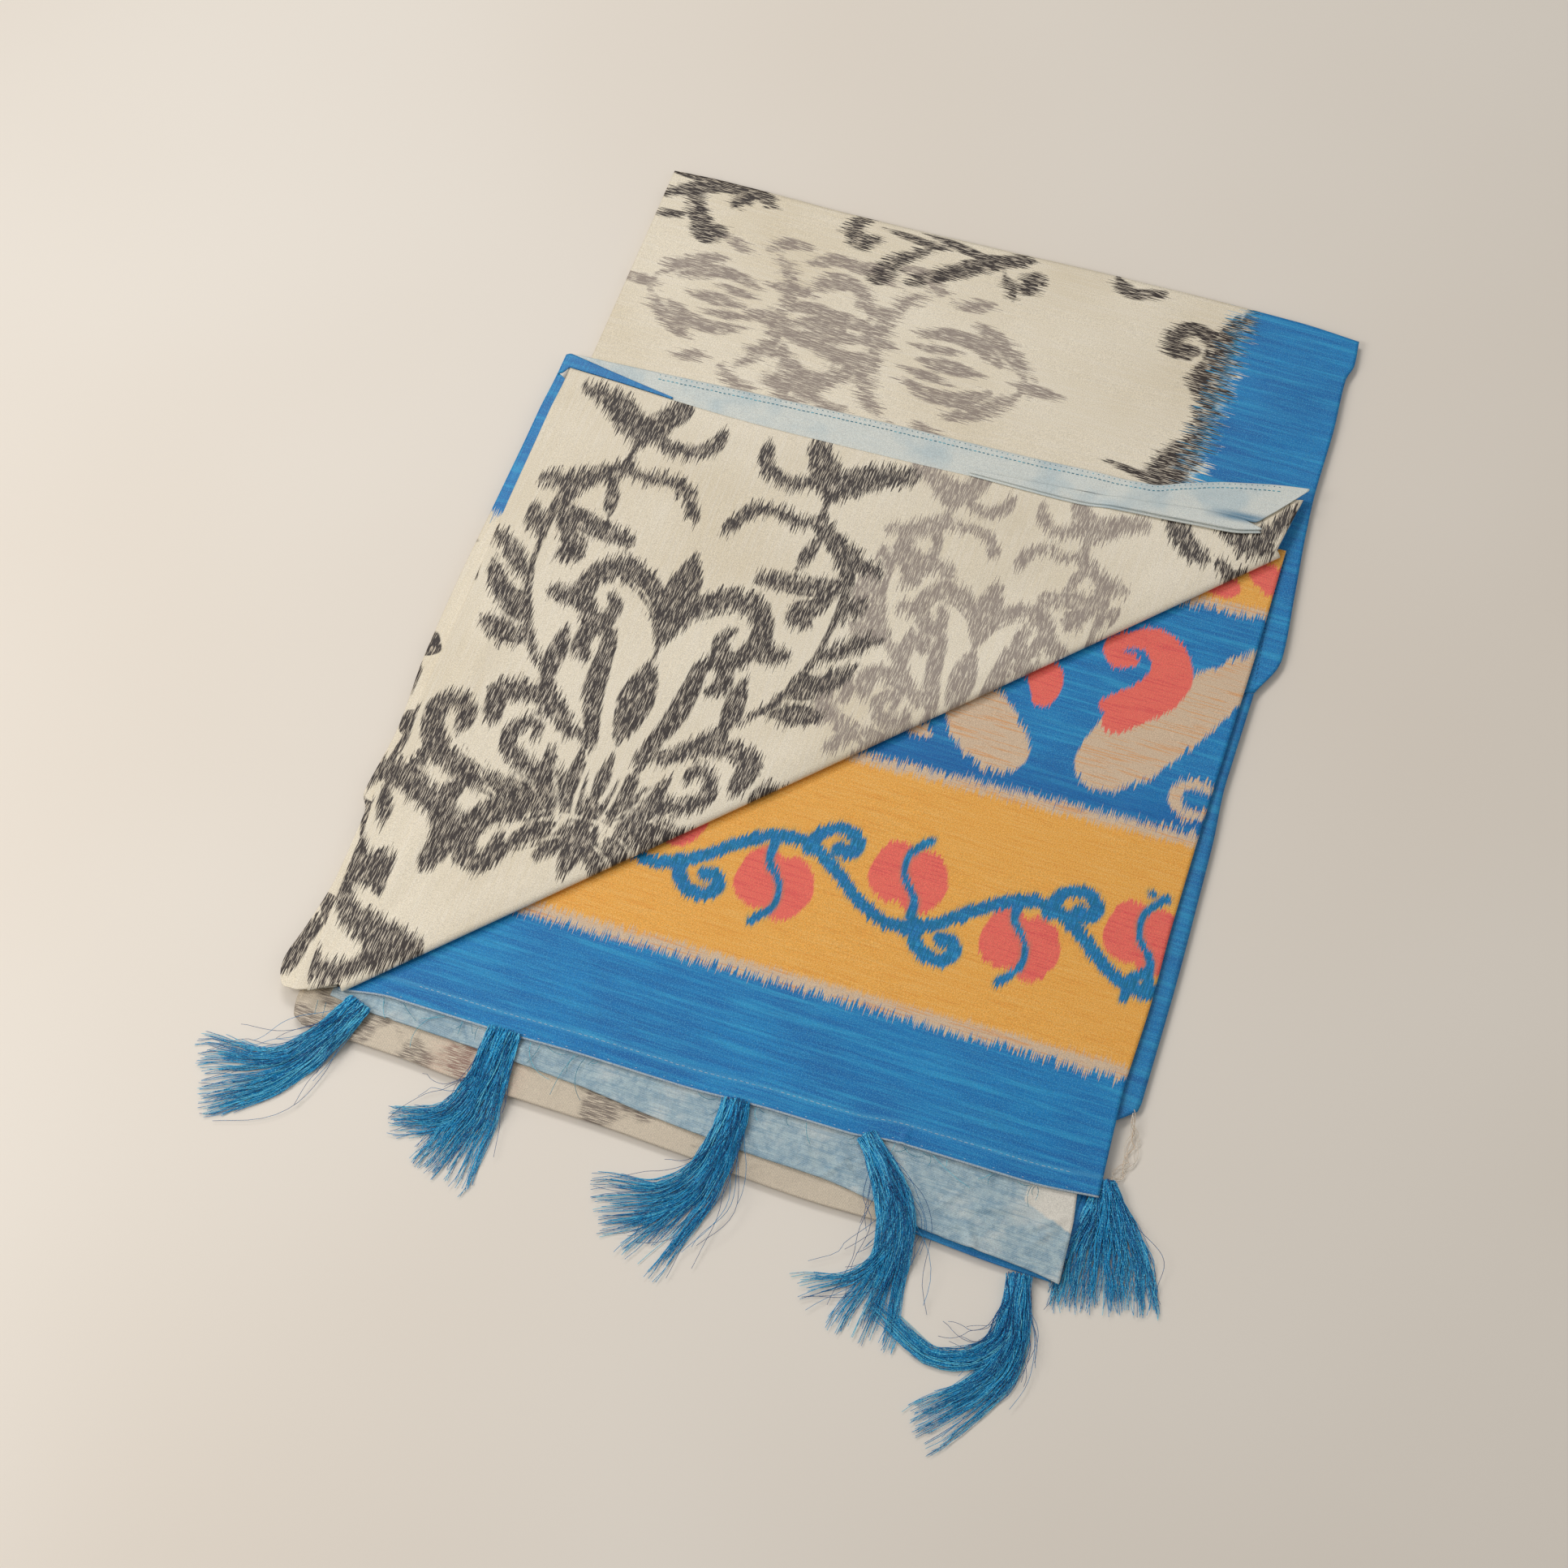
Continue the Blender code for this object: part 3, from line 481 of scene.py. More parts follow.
def makeHemFinish():
    coords, x, y = newFinish("hem", "turned hem, wrong side")
    threads = threadsAt(y, x, 14.0)
    rib = calc("SINE", times(plus(times(x, 0.8), y), 5200.0))
    colour = tinted(
        ink["hem"], ("hemDeep", rib, -1.0, 1.0, 0.28), ("hemDeep", noise(coords, 24.0), 0.46, 0.66, 0.55))
    # painted shade: the hollow mask lays a teal patch on the low edge of the hem's right end, standing in for
    # the shadow inside the turned hem
    along = calc("ABSOLUTE", minus(x, 0.238))
    over = calc("ABSOLUTE", plus(y, calc("MULTIPLY_ADD", x, -0.1, -0.19)))
    hollow = times(ramp(along, 0.034, 0.004), ramp(over, 0.0075, 0.001))
    colour = tinted(
        blend(times(hollow, 0.85), colour, ink["teal"]), ("wrongSideLight", threads["Slub"], 0.3, 1.0, 0.3),
        ("hemDeep", threads["Grain"], 0.5, 1.0, 0.25))
    clothFinish(coords, colour, threads, sheen=0.15, bump=0.5)


def makePileFinish():
    coords, x, y = newFinish("pile", "folded edges of the hidden layers")
    threads = threadsAt(y, x, 16.0)
    colour = spottedCream(coords, threads, 18.0, 0.57)
    colour = bordered(colour, coords, threads, minus(x, 0.2), 0.008)
    clothFinish(coords, colour, threads, sheen=0.06, bump=0.35)


def makeThreadFinish(key, name, dark, middle, light, roughness):
    coords = newFinish(key, name)[0]
    # painted shade and painted highlights: each thread is darkened or lightened at random, standing in for
    # the shade between threads and the light on them, and the light and dark dashes along its twist are
    # painted glints and painted shade
    threadNoise = addNode("ShaderNodeNewGeometry").outputs["Random Per Island"]
    twist = noise(coords, 1100.0, 2.0)
    colour = tinted(
        ink[dark], (middle, threadNoise, 0.0, 0.45, 1.0), (light, threadNoise, 0.6, 1.0, 0.8),
        (light, twist, 0.54, 0.66, 0.85), (dark, twist, 0.46, 0.34, 0.75))
    feedShader({
        "Base Color": colour, "Roughness": ramp(twist, 0.3, 0.7, roughness + 0.15, roughness - 0.06),
        "Normal": bumped(twist, 0.7, 0.0002)})


for makeFinish in (
        makeFlapFinish, makeBackFinish, makePalluFinish, makeUnderFinish, makeBodyFinish, makeInnerFinish,
        makeHemFinish, makePileFinish):
    makeFinish()
makeThreadFinish("tassel", "tassel thread", "threadDark", "threadBlue", "threadLight", 0.24)
makeThreadFinish("stitch", "sewing thread", "stitch", "stitch", "threadLight", 0.5)
makeThreadFinish("stitchBlue", "blue sewing thread", "bluePale", "wrongSideLight", "wrongSideLight", 0.5)
makeThreadFinish("whiteThread", "white selvage thread", "beige", "white", "white", 0.5)
makeThreadFinish("strayThread", "loose tassel thread", "strayDark", "strayDark", "threadBlue", 0.42)
print("finishes made:", len(finish))


# prints: strokes drawn as smooth lines with a half width, in millimetres
def curved(points, widths):
    p = np.array(points, float) * 0.001
    n = len(p)
    line = []
    for s in np.linspace(0, n - 1, 7 * (n - 1) + 2):
        i = min(int(s), n - 2)
        f = s - i
        a, b, c, d = p[max(i - 1, 0)], p[i], p[i + 1], p[min(i + 2, n - 1)]
        cubic = 2 * b + (c - a) * f + (2 * a - 5 * b + 4 * c - d) * f * f + (3 * b - a - 3 * c + d) * f ** 3
        line.append(0.5 * cubic)
    shares = [np.linspace(0, 1, len(row)) for row in (line, widths)]
    return np.array(line), np.interp(*shares, np.array(widths, float) * 0.001)


def leaf(x, y, heading, length, width, bend=0.0):
    turn = math.radians(heading)
    points = [np.array([x, y], float)]
    for k in range(8):
        turn += math.radians(bend) / 8
        points.append(points[-1] + length / 8 * np.array([math.cos(turn), math.sin(turn)]))
    shape = np.array([0.15, 0.45, 0.72, 0.92, 1.0, 0.96, 0.78, 0.5, 0.12])
    return np.array(points) * 0.001, shape * width * 0.0005


# a curve's row has its points and half widths, a leaf's has x, y, heading, length, width and perhaps its bend
def drawn(rows):
    return [curved(*row) if len(row) == 2 else leaf(*row) for row in rows]


def mirrored(strokes):
    return [(points * [-1, 1], wide) for points, wide in strokes]


def placed(strokes, x, y, turn=0.0, scale=1.0, spread=0.0):
    c, s = math.cos(math.radians(turn)), math.sin(math.radians(turn))
    turned = np.array([[c, s], [-s, c]])
    at = [x * 0.001, y * 0.001]
    return [(points @ turned * scale + at, wide * scale + spread) for points, wide in strokes]


def inkDistance(x, y, strokes, cuts=(), far=0.014):  # how far outside the strokes each point lies
    if cuts:
        return np.maximum(inkDistance(x, y, strokes), -inkDistance(x, y, cuts))
    found = np.full(x.shape, far)
    for points, wide in strokes:
        low, high = points.min(0) - wide.max() - far, points.max(0) + wide.max() + far
        near = np.flatnonzero((x > low[0]) & (x < high[0]) & (y > low[1]) & (y < high[1]))
        px, py = x[near], y[near]
        best = found[near]
        for (ax, ay), (bx, by), wa, wb in zip(points, points[1:], wide, wide[1:]):
            dx, dy = bx - ax, by - ay
            t = np.clip(((px - ax) * dx + (py - ay) * dy) / max(dx * dx + dy * dy, 1e-12), 0, 1)
            best = np.minimum(best, np.hypot(px - ax - t * dx, py - ay - t * dy) - wa - (wb - wa) * t)
        found[near] = best
    return found


def damask():  # heart shaped palmette over a fan of leaves, with a scrolling branch on either side
    half = drawn([
        ([(2, -30), (8, -8), (20, 8), (34, 19), (50, 23), (65, 12), (69, -8), (58, -25), (45, -24),
            (41, -12), (49, -3)], [4, 8, 11, 12, 11, 10, 9, 8, 7, 6, 5]),
        ([(15, -130), (25, -108), (32, -86), (34, -68), (35, -54)], [3, 7, 9.5, 9, 7.5]),
        ([(35, -54), (36, -40), (45, -33), (55, -40), (54, -54), (48, -58)], [7.5, 7, 6.5, 7.5, 8, 6]),
        (70, -94, 93, 58, 18, -6), (98, -14, 172, 32, 20, 20), (103, 16, 150, 26, 17, 20),
        # branch and the leaves on it
        ([(21, -129), (46, -108), (68, -84), (91, -60), (105, -30), (114, 4), (116, 38), (115, 64),
            (100, 90), (78, 108)], [4, 4.5, 4.5, 5, 4, 3, 3.5, 6, 9, 9]),
        (92, -62, 2, 48, 20, 26), (99, -46, 26, 66, 21, 34), (112, -14, 62, 64, 18, -38),
        (104, -30, 26, 22, 12, -10), (60, -98, -2, 50, 20, -16), (113, 30, 30, 34, 17, 40),
        ([(112, 60), (96, 54), (76, 50), (52, 47)], [6, 9, 9.5, 7]),
        ([(108, 50), (98, 36), (84, 32)], [5, 8, 5]),
        ([(78, 108), (100, 92), (116, 84), (134, 80)], [7, 10, 9, 6]),
        ([(80, 112), (64, 104), (44, 108), (26, 102), (14, 82)], [4, 6, 6.5, 7.5, 7]),
        (84, 96, -112, 34, 14, 10),
        # ornament that hangs above
        ([(79, 110), (77, 128), (78, 146)], [3, 3.5, 6]), ([(78, 142), (66, 158), (55, 176)], [13, 13, 10]),
        ([(78, 142), (98, 158), (116, 168), (132, 172)], [14, 14, 11, 7]),
        ([(18, 163), (21, 148), (34, 137), (50, 136), (66, 143)], [6, 7.5, 8, 8, 5]),
        # scrolls below
        ([(28, -178), (62, -182), (96, -177), (123, -164), (135, -144), (134, -130), (122, -124),
            (112, -131), (113, -142)], [8, 10.5, 11, 10.5, 9.5, 9, 8.5, 8, 7]),
        ([(36, -160), (56, -159), (72, -150), (78, -136), (70, -125), (60, -126), (58, -136)],
            [9, 9, 8, 7, 6.5, 6, 5]),
        ([(36, -124), (58, -106), (84, -100), (97, -111), (94, -130)], [6, 8, 9.5, 9.5, 8]),
        ([(30, -186), (58, -198), (75, -214), (77, -234), (64, -245), (52, -237), (53, -222)],
            [9, 11.5, 12, 11, 10, 9, 7]),
        (10, -182, 70, 50, 18, 10), (20, -178, 44, 50, 18, 24), (18, -196, -44, 44, 20, -10),
        ([(6, -196), (12, -212), (22, -226)], [8, 9, 6]), (34, -186, 60, 30, 14, 30),
        (92, -186, -58, 34, 18, 16), (116, -170, -30, 26, 15, 16),
    ])
    middle = drawn([
        (0, -16, 90, 68, 28), (0, -46, 90, 44, 8), (0, -122, 90, 76, 30), (0, -176, 90, 46, 14),
        (0, -184, -90, 54, 21), ([(-26, -184), (0, -178), (26, -184)], [6, 8, 6]),
    ])
    return [(points, np.maximum(wide - 0.001, 0.0011)) for points, wide in half + mirrored(half) + middle]


def palmette():
    half = drawn([
        ([(7, 62), (24, 50), (38, 30), (46, 12)], [3, 6, 7, 4]),
        ([(13, 40), (27, 20), (30, -6), (22, -28)], [3, 7, 7, 3]), (11, -34, 84, 46, 10),
        ([(4, -56), (24, -57), (46, -50), (60, -38)], [5, 7, 6, 4]), (56, -10, 64, 34, 13),
        ([(12, -64), (18, -84), (12, -106), (3, -112)], [4, 7, 6, 4]),
        ([(30, -70), (45, -82), (54, -100), (46, -118), (32, -118)], [4, 6, 7, 6, 4]),
        (60, -60, -50, 34, 13, -20), ([(66, -24), (78, -36), (80, -54)], [4, 7, 5]), (30, -126, -84, 30, 12),
        (70, -92, -84, 30, 12),
    ])
    return half + mirrored(half) + drawn([
        (0, 52, 90, 44, 12), (0, -24, 90, 54, 15), (0, -116, 90, 46, 12), (0, -124, -90, 40, 14),
    ])


def damaskCuts():  # thin bare lines between its leaves
    half = drawn([
        ([(7, -196), (12, -176), (14, -150), (12, -132)], [0.9, 1.6, 1.5, 0.8]),
        ([(18, -192), (30, -168), (38, -146)], [0.8, 1.6, 0.9]),
        ([(30, -190), (48, -172), (58, -164)], [0.8, 1.5, 0.8]),
        ([(52, -192), (74, -186), (92, -168)], [0.8, 1.6, 0.9]),
        ([(12, -206), (22, -212), (34, -222)], [1.4, 1.5, 0.8]),
        ([(16, -4), (26, 8), (40, 14)], [0.6, 1.4, 0.6]),
        ([(100, -170), (116, -158), (124, -142)], [0.6, 1.2, 0.6]),
        ([(46, -206), (60, -212), (64, -226)], [0.6, 1.3, 0.6]),
    ])
    return half + mirrored(half)


flapCharcoal = placed(damask(), -141, 0) + drawn([
    ([(-304, -196), (-284, -194), (-262, -202), (-243, -212), (-231, -232), (-236, -254)],
        [7, 10, 11.5, 12, 11, 8]),
    ([(-300, -240), (-286, -262), (-270, -280), (-262, -268)], [5, 8, 9, 6]), (-288, -206, -70, 34, 12),
    ([(-298, -292), (-292, -278), (-276, -274), (-266, -262)], [6, 9, 11, 8]), (-272, -262, -64, 34, 14),
    ([(-284, -292), (-272, -310), (-250, -320), (-222, -324)], [4, 9, 13, 11]), (-252, -306, -70, 40, 20),
    ([(-290, -308), (-291, -324), (-298, -340), (-300, -352)], [3, 5, 8, 9]),
    ([(-284, -352), (-274, -362), (-258, -354)], [8, 10, 8]), (-296, -32, 92, 30, 14),
    (-300, -102, 82, 32, 11), (-290, -160, 96, 40, 11, 20), (-301, -190, 66, 34, 12),
    (-298, -246, 84, 30, 12), ([(-280, -366), (-262, -356), (-241, -341), (-225, -328)], [6, 7, 8, 5]),
    ([(184, 206), (194, 190), (206, 176), (220, 168)], [6, 9, 9, 6]),
    ([(220, 207), (236, 198), (250, 189), (264, 192)], [5, 9, 10, 6]),
    ([(273, 234), (267, 217), (258, 206)], [4, 7.5, 8]), ([(232, 168), (244, 158), (252, 164)], [5, 8, 5]),
])
innerCharcoal = drawn([
    ([(-291, -320), (-297, -336), (-300, -350), (-299, -364)], [5, 9, 10, 6]),
    ([(-299, -262), (-303, -246)], [5, 8]), ([(-303, -206), (-300, -188)], [7, 5]),
    ([(-304, -128), (-306, -108)], [5, 7]),
])
flapGrey = placed(damask(), 80, 66, 0, 0.69, 0.0008)
flapCuts = placed(damaskCuts(), -141, 0) + placed(damaskCuts(), 80, 66, 0, 0.69)
backGrey = placed(palmette(), -18, 282, -90) + placed(palmette(), -206, 286, 90, 0.9)
backCharcoal = drawn([
    ([(-286, 372), (-262, 386), (-236, 396), (-210, 398), (-198, 388)], [4, 6, 7, 7, 5]),
    (-284, 396, 4, 62, 11), ([(-262, 386), (-250, 362), (-238, 344), (-228, 352)], [5, 8, 9, 6]),
    (-214, 400, -118, 28, 14), (-286, 350, 20, 30, 8),
    ([(-122, 400), (-128, 386), (-118, 374), (-108, 384)], [5, 7, 7, 5]), (-106, 396, -6, 60, 8),
    ([(-94, 348), (-84, 368), (-66, 386)], [9, 7, 4]), (-72, 402, -10, 70, 9),
    ([(-70, 350), (-50, 364), (-30, 378), (-10, 392), (14, 402)], [4, 7, 8, 7, 5]), (26, 394, -100, 26, 18),
    (-2, 386, -60, 34, 10), ([(86, 408), (94, 398), (108, 398), (124, 405)], [4, 6, 6, 4]),
    ([(160, 358), (148, 354), (143, 364), (148, 376), (162, 379), (175, 369), (181, 350)],
        [6, 8, 8, 7, 6, 7, 9]),
    ([(203, 410), (199, 384), (190, 358)], [13, 13, 8]), (205, 409, -90, 26, 20),
    ([(182, 352), (178, 334), (182, 318)], [11, 15, 9]), ([(186, 306), (188, 292), (184, 280)], [9, 12, 7]),
    ([(180, 272), (177, 256), (174, 240)], [9, 13, 12]), (176, 338, -40, 30, 14), (186, 404, -100, 46, 13),
    (168, 266, -100, 34, 16), (176, 250, -60, 34, 14), ([(124, 238), (148, 234), (168, 230)], [2, 3.5, 6]),
    (188, 300, -80, 40, 12),
])


def vineLine(x):
    return -174.5 + 0.035 * x + 23.5 * np.cos(2 * np.pi * (x - 4) / 180)


# each fruit's centre, and its side away from the vine
fruits = ((3, -190, -1), (92, -155, 1), (182, -180, -1), (263, -147, 1))


def vineStrokes():
    rows = [([(x, vineLine(x)) for x in range(-110, 310, 12)], [5.0])]
    hook = [(-23, -12), (-19, 2), (-9, 10), (3, 10), (10, 2), (6, -6), (-2, -5)]
    for x, y, side in ((-44, -204, -1), (40, -144, 1), (130, -200, -1), (216, -138, 1)):
        rows.append(([(x + a, y + side * b) for a, b in hook], [4.8, 5.0, 5.2, 5.2, 5.0, 5.2, 5.8]))
    slit = [(-10, 29), (-9, 16), (3, 1), (5, -17), (-6, -33)]  # from the vine through the fruit to its tip
    for x, y, side in fruits:
        line = [(x - side * a, y - side * b) if side > 0 else (x + a, y + b) for a, b in slit]
        rows.append((line, [3.6, 2.8, 2.2, 2.4, 3.8]))
    return drawn(rows + [
        (255, -112, 0, 8, 6), (266, -112, 0, 8, 6),
        ([(262, -198), (264, -180), (272, -174), (277, -184)], [3, 4, 4, 4])])


def coralStrokes():
    rows = []
    for x, y, side in fruits + ((-86, -157, 1),):  # two lobes, one higher than the other
        rows.append(([(x - 12, y + 12), (x - 13, y - 4), (x - 10, y - 10)], [14, 16, 13]))
        rows.append(([(x + 10, y + 12), (x + 13, y - 2), (x + 10, y - 13)], [13, 16, 14]))
    return drawn(rows + [
        ([(184, 88), (176, 78), (182, 67), (194, 70)], [6, 7, 7, 5]),
        ([(184, 84), (200, 92), (216, 84), (224, 66), (218, 48), (206, 32), (194, 14)],
            [6, 10, 14, 16, 17, 15, 9]),
        ([(196, 36), (184, 26)], [8, 5]), ([(120, 50), (136, 36), (140, 18)], [10, 14, 8]),
        (254, 178, -20, 42, 26), (222, 158, -10, 30, 22), (176, 150, 0, 36, 20)])


beigeStrokes = drawn([
    ([(66, 34), (86, 6), (106, -18), (122, -32)], [12, 20, 26, 22]),
    ([(290, 104), (264, 70), (236, 34), (212, 0), (198, -22)], [10, 18, 27, 30, 22]),
    ([(276, -18), (260, -18), (252, -30), (262, -42), (276, -40)], [4, 4.5, 4.5, 4.5, 4]),
    (48, -34, -10, 26, 12), (20, -52, 10, 20, 8),
])


def flatPlaces(mesh):
    co = np.empty(len(mesh.vertices) * 3)
    mesh.vertices.foreach_get("co", co)
    return co[0::3], co[1::3]


# the distance at three places along the threads, kept on each point of the sheet
def printInk(obj, name, strokes, reach=0.0068, turned=False, cuts=()):
    x, y = flatPlaces(obj.data)
    samples = []
    for shift in (-reach, 0.0, reach):
        moved = (x + shift, y) if turned else (x, y + shift)
        samples.append(inkDistance(*moved, strokes, cuts))
    attribute = obj.data.attributes.new(name, "FLOAT_VECTOR", "POINT")
    attribute.data.foreach_set("vector", np.column_stack(samples).ravel())


def linked(name, data):
    obj = bpy.data.objects.new(name, data)
    bpy.context.scene.collection.objects.link(obj)
    return obj


def addPiece(name, mesh, material, node=None):
    obj = linked(name, mesh)
    mesh.materials.append(finish[material])
    mesh.shade_smooth()
    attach(obj, "root")
    if node:
        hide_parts(node)
    return obj


def gridMesh(name, size, place):
    bm = bmesh.new()
    bmesh.ops.create_grid(bm, x_segments=size[0], y_segments=size[1], size=0.5)
    mesh = bpy.data.meshes.new(name)
    bm.to_mesh(mesh)
    bm.free()
    u, v = [np.clip(along + 0.5, 0, 1) for along in flatPlaces(mesh)]
    mesh.vertices.foreach_set("co", np.column_stack(place(u, v)).ravel())
    mesh.update()
    return mesh


def gridSheet(name, size, place, material, node):
    obj = addPiece(name, gridMesh(name, size, place), material, node)
    wall = obj.modifiers.new("wall", "SOLIDIFY")
    wall.thickness = cloth["thin"]
    wall.offset = 0
    return obj


def laidPanel(name, edges, back, size, height, material, node, dense=None):
    def place(u, v):
        if dense is not None:
            v = through(*dense, v)
        x = alongEdge(edges["left"], v) * (1 - u) + alongEdge(edges["right"], v) * u
        front = alongEdge(edges["front"], u)
        y = front + (back(u) - front) * v
        return x, y, height(x, y)

    return gridSheet(name, size, place, material, node)


# the hidden layers: one rounded pile with a fold for each layer round its rim
pile = {
    "corners": [(-0.281, -0.387), (0.28, -0.393), (0.28, 0.403), (-0.2795, 0.393)], "folds": 6, "rim": 0.004,
    "wander": 0.0013,
}


def makePile():
    perSide, perFold = 60, 6

    def place(u, v):
        side = np.minimum((u * 4).astype(int), 3)
        share = u * 4 - side
        corners = np.array(pile["corners"] + pile["corners"][:1])
        x, y = (corners[side] * (1 - share)[:, None] + corners[side + 1] * share[:, None]).T
        fold = np.minimum(v * pile["folds"], pile["folds"] - 1e-6)
        number = np.floor(fold)
        roundness = np.sin(np.pi * (fold - number)) ** 0.6
        loop = u * 2 * np.pi
        uneven = 1 + np.sin(9 * loop + 2.1 * number) * 0.5 + np.sin(23 * loop + 1.3 * number) * 0.3
        inset = 0.0004 + pile["wander"] * uneven + 0.0011 * (1 - roundness)
        inset = np.where((v < 0.02) | (v > 0.98), pile["rim"], inset)
        return x - np.sign(x) * inset, y - np.sign(y) * inset, cloth["pile"] * v

    mesh = gridMesh("hidden layers", (perSide * 4, pile["folds"] * perFold), place)
    bm = bmesh.new()
    bm.from_mesh(mesh)
    bmesh.ops.remove_doubles(bm, verts=bm.verts, dist=0.00005)
    bmesh.ops.holes_fill(bm, edges=[edge for edge in bm.edges if edge.is_boundary], sides=0)
    bmesh.ops.recalc_face_normals(bm, faces=bm.faces)
    bm.to_mesh(mesh)
    bm.free()
    return addPiece("hiddenLayers", mesh, "pile", "folded_layers")


hiddenLayers = makePile()

# the cloth's back panel, cream with its blue border at the right
backEdges = {
    "left": [(0, -0.281), (1, -0.283)],
    "right": [(0.0, 0.285), (0.1, 0.297), (0.27, 0.292), (0.45, 0.286), (0.57, 0.2835), (0.72, 0.283),
        (0.885, 0.28), (0.93, 0.283), (1.0, 0.281)],
    "front": [(0, 0.062), (0.94, 0.064), (1, 0.074)],
    "back": [(0.0, 0.397), (0.08, 0.4), (0.26, 0.401), (0.47, 0.405), (0.66, 0.41), (0.82, 0.412),
        (0.91, 0.412), (1.0, 0.409)],
}


def backHeight(x, y):
    swells = softWaves(x, y, 9, 0.019, 0.0007) * smoothStep((y - 0.235) / 0.03)
    return level(1) + creases(backCreases, x, y) + swells


backPanel = laidPanel(
    "backPanel", backEdges, edgeOf(backEdges["back"]), (230, 104), backHeight,
    "back", "back_panel", dense=([0, 0.16, 1], [0, 0.3, 1]))
printInk(backPanel, "charcoalInk", backCharcoal, turned=True)
printInk(backPanel, "greyInk", backGrey, 0.009, turned=True)

# the layer below the end panel, with its front edge and right border showing
bodyEdges = {
    "left": [(0, -0.273), (0.012, -0.281), (0.045, -0.284), (0.2, -0.281), (1, -0.281)],
    "right": [(0.0, 0.273), (0.25, 0.279), (0.268, 0.287), (0.288, 0.2955), (0.36, 0.295), (0.48, 0.294),
        (0.64, 0.291), (0.73, 0.289), (0.84, 0.285), (1.0, 0.285)],
    "front": [(0.0, -0.398), (0.12, -0.399), (0.24, -0.402), (0.38, -0.402), (0.5, -0.404), (0.69, -0.408),
        (0.78, -0.407), (0.95, -0.411), (1.0, -0.411)],
}


def bodyHeight(x, y):  # sinks a little where its front and right edges show
    front = smoothStep((-0.392 - y) / 0.013)
    side = smoothStep((x - 0.282) / 0.013)
    return level(1) - 0.0011 * np.maximum(front, side)


bodyUnder = laidPanel(
    "bodyUnder", bodyEdges, lambda u: alongEdge(backEdges["front"], u) - 0.0006, (150, 90), bodyHeight,
    "body", "body_under", dense=([0, 0.22, 1], [0, 0.06, 1]))

# the end panel's own under layer, wrong side up and crinkled
underEdges = {
    "left": [(0, -0.262), (1, -0.262)], "right": [(0, 0.279), (0.07, 0.276), (0.12, 0.272), (1, 0.272)],
    "front": [(0.0, -0.372), (0.05, -0.375), (0.21, -0.377), (0.34, -0.38), (0.44, -0.385), (0.59, -0.39),
        (0.68, -0.391), (0.78, -0.399), (0.82, -0.404), (0.965, -0.409), (1.0, -0.412)],
}
crinkles = {
    "count": 46, "tall": (0.0006, 0.0015), "wide": (0.0012, 0.003), "long": (0.008, 0.02), "most": 0.0024,
    "right": 0.2, "rightMore": 1.6,
}


def underHeight(x, y):
    shown = smoothStep((-0.362 - y) / 0.008)
    pick = random.Random(21)
    crinkle = np.zeros_like(x)
    for k in range(crinkles["count"]):  # short creases that run in from the edge
        cx, cy = pick.uniform(-0.25, 0.28), pick.uniform(-0.408, -0.366)
        ahead, aside = turnedFrom(x, y, cx, cy, math.radians(pick.uniform(-70, 70)))
        tall = (crinkles["rightMore"] if cx > crinkles["right"] else 1.0) * pick.uniform(*crinkles["tall"])
        beside = (aside / pick.uniform(*crinkles["wide"])) ** 2
        crinkle += tall * np.exp(-beside - (ahead / pick.uniform(*crinkles["long"])) ** 2)
    return level(2) + shown * np.clip(crinkle + 0.0003 * (1 + np.sin(x / 0.011)), 0, crinkles["most"])


palluUnder = laidPanel(
    "palluUnder", underEdges, lambda u: palluBack(-0.262 + 0.538 * u), (250, 70), underHeight,
    "under", "pallu_under", dense=([0, 0.5, 1], [0, 0.09, 1]))

# the end panel
palluEdges = {
    "left": [(0, -0.257), (0.04, -0.27), (1, -0.272)],
    "right": [(0.0, 0.287), (0.1, 0.283), (0.165, 0.281), (0.26, 0.2815), (0.4, 0.279), (0.6, 0.278),
        (0.78, 0.278), (1.0, 0.276)],
    "front": [(0.0, -0.367), (0.07, -0.361), (0.2, -0.361), (0.33, -0.359), (0.45, -0.359), (0.57, -0.356),
        (0.68, -0.355), (0.74, -0.351), (0.91, -0.35), (1.0, -0.345)],
}


def palluFront(x):  # y of the end panel's front edge
    return alongEdge(palluEdges["front"], (x + 0.257) / 0.544)


def palluHeight(x, y):
    shown = smoothStep((-0.01 - inside(x, y)) / 0.03)
    edge = alongEdge(palluEdges["front"], (x + 0.264) / 0.547)
    hem = 0.00035 * (1 - smoothStep((y - edge - 0.011) / 0.002))
    return level(3) + shown * (creases(palluCreases, x, y) + softWaves(x, y, 5, 0.018, 0.0006)) + hem


pallu = laidPanel(
    "endPanel", palluEdges, lambda u: palluBack(-0.272 + 0.548 * u), (210, 212), palluHeight,
    "pallu", "pallu")
palluX, palluY = flatPlaces(pallu.data)
edgeGap = pallu.data.attributes.new("edgeGap", "FLOAT", "POINT")
edgeGap.data.foreach_set("value", palluY - palluFront(palluX))
printInk(pallu, "vineInk", vineStrokes(), 0.0032)
printInk(pallu, "coralInk", coralStrokes(), 0.0036)
printInk(pallu, "beigeInk", beigeStrokes, 0.006)
print("lower layers made")

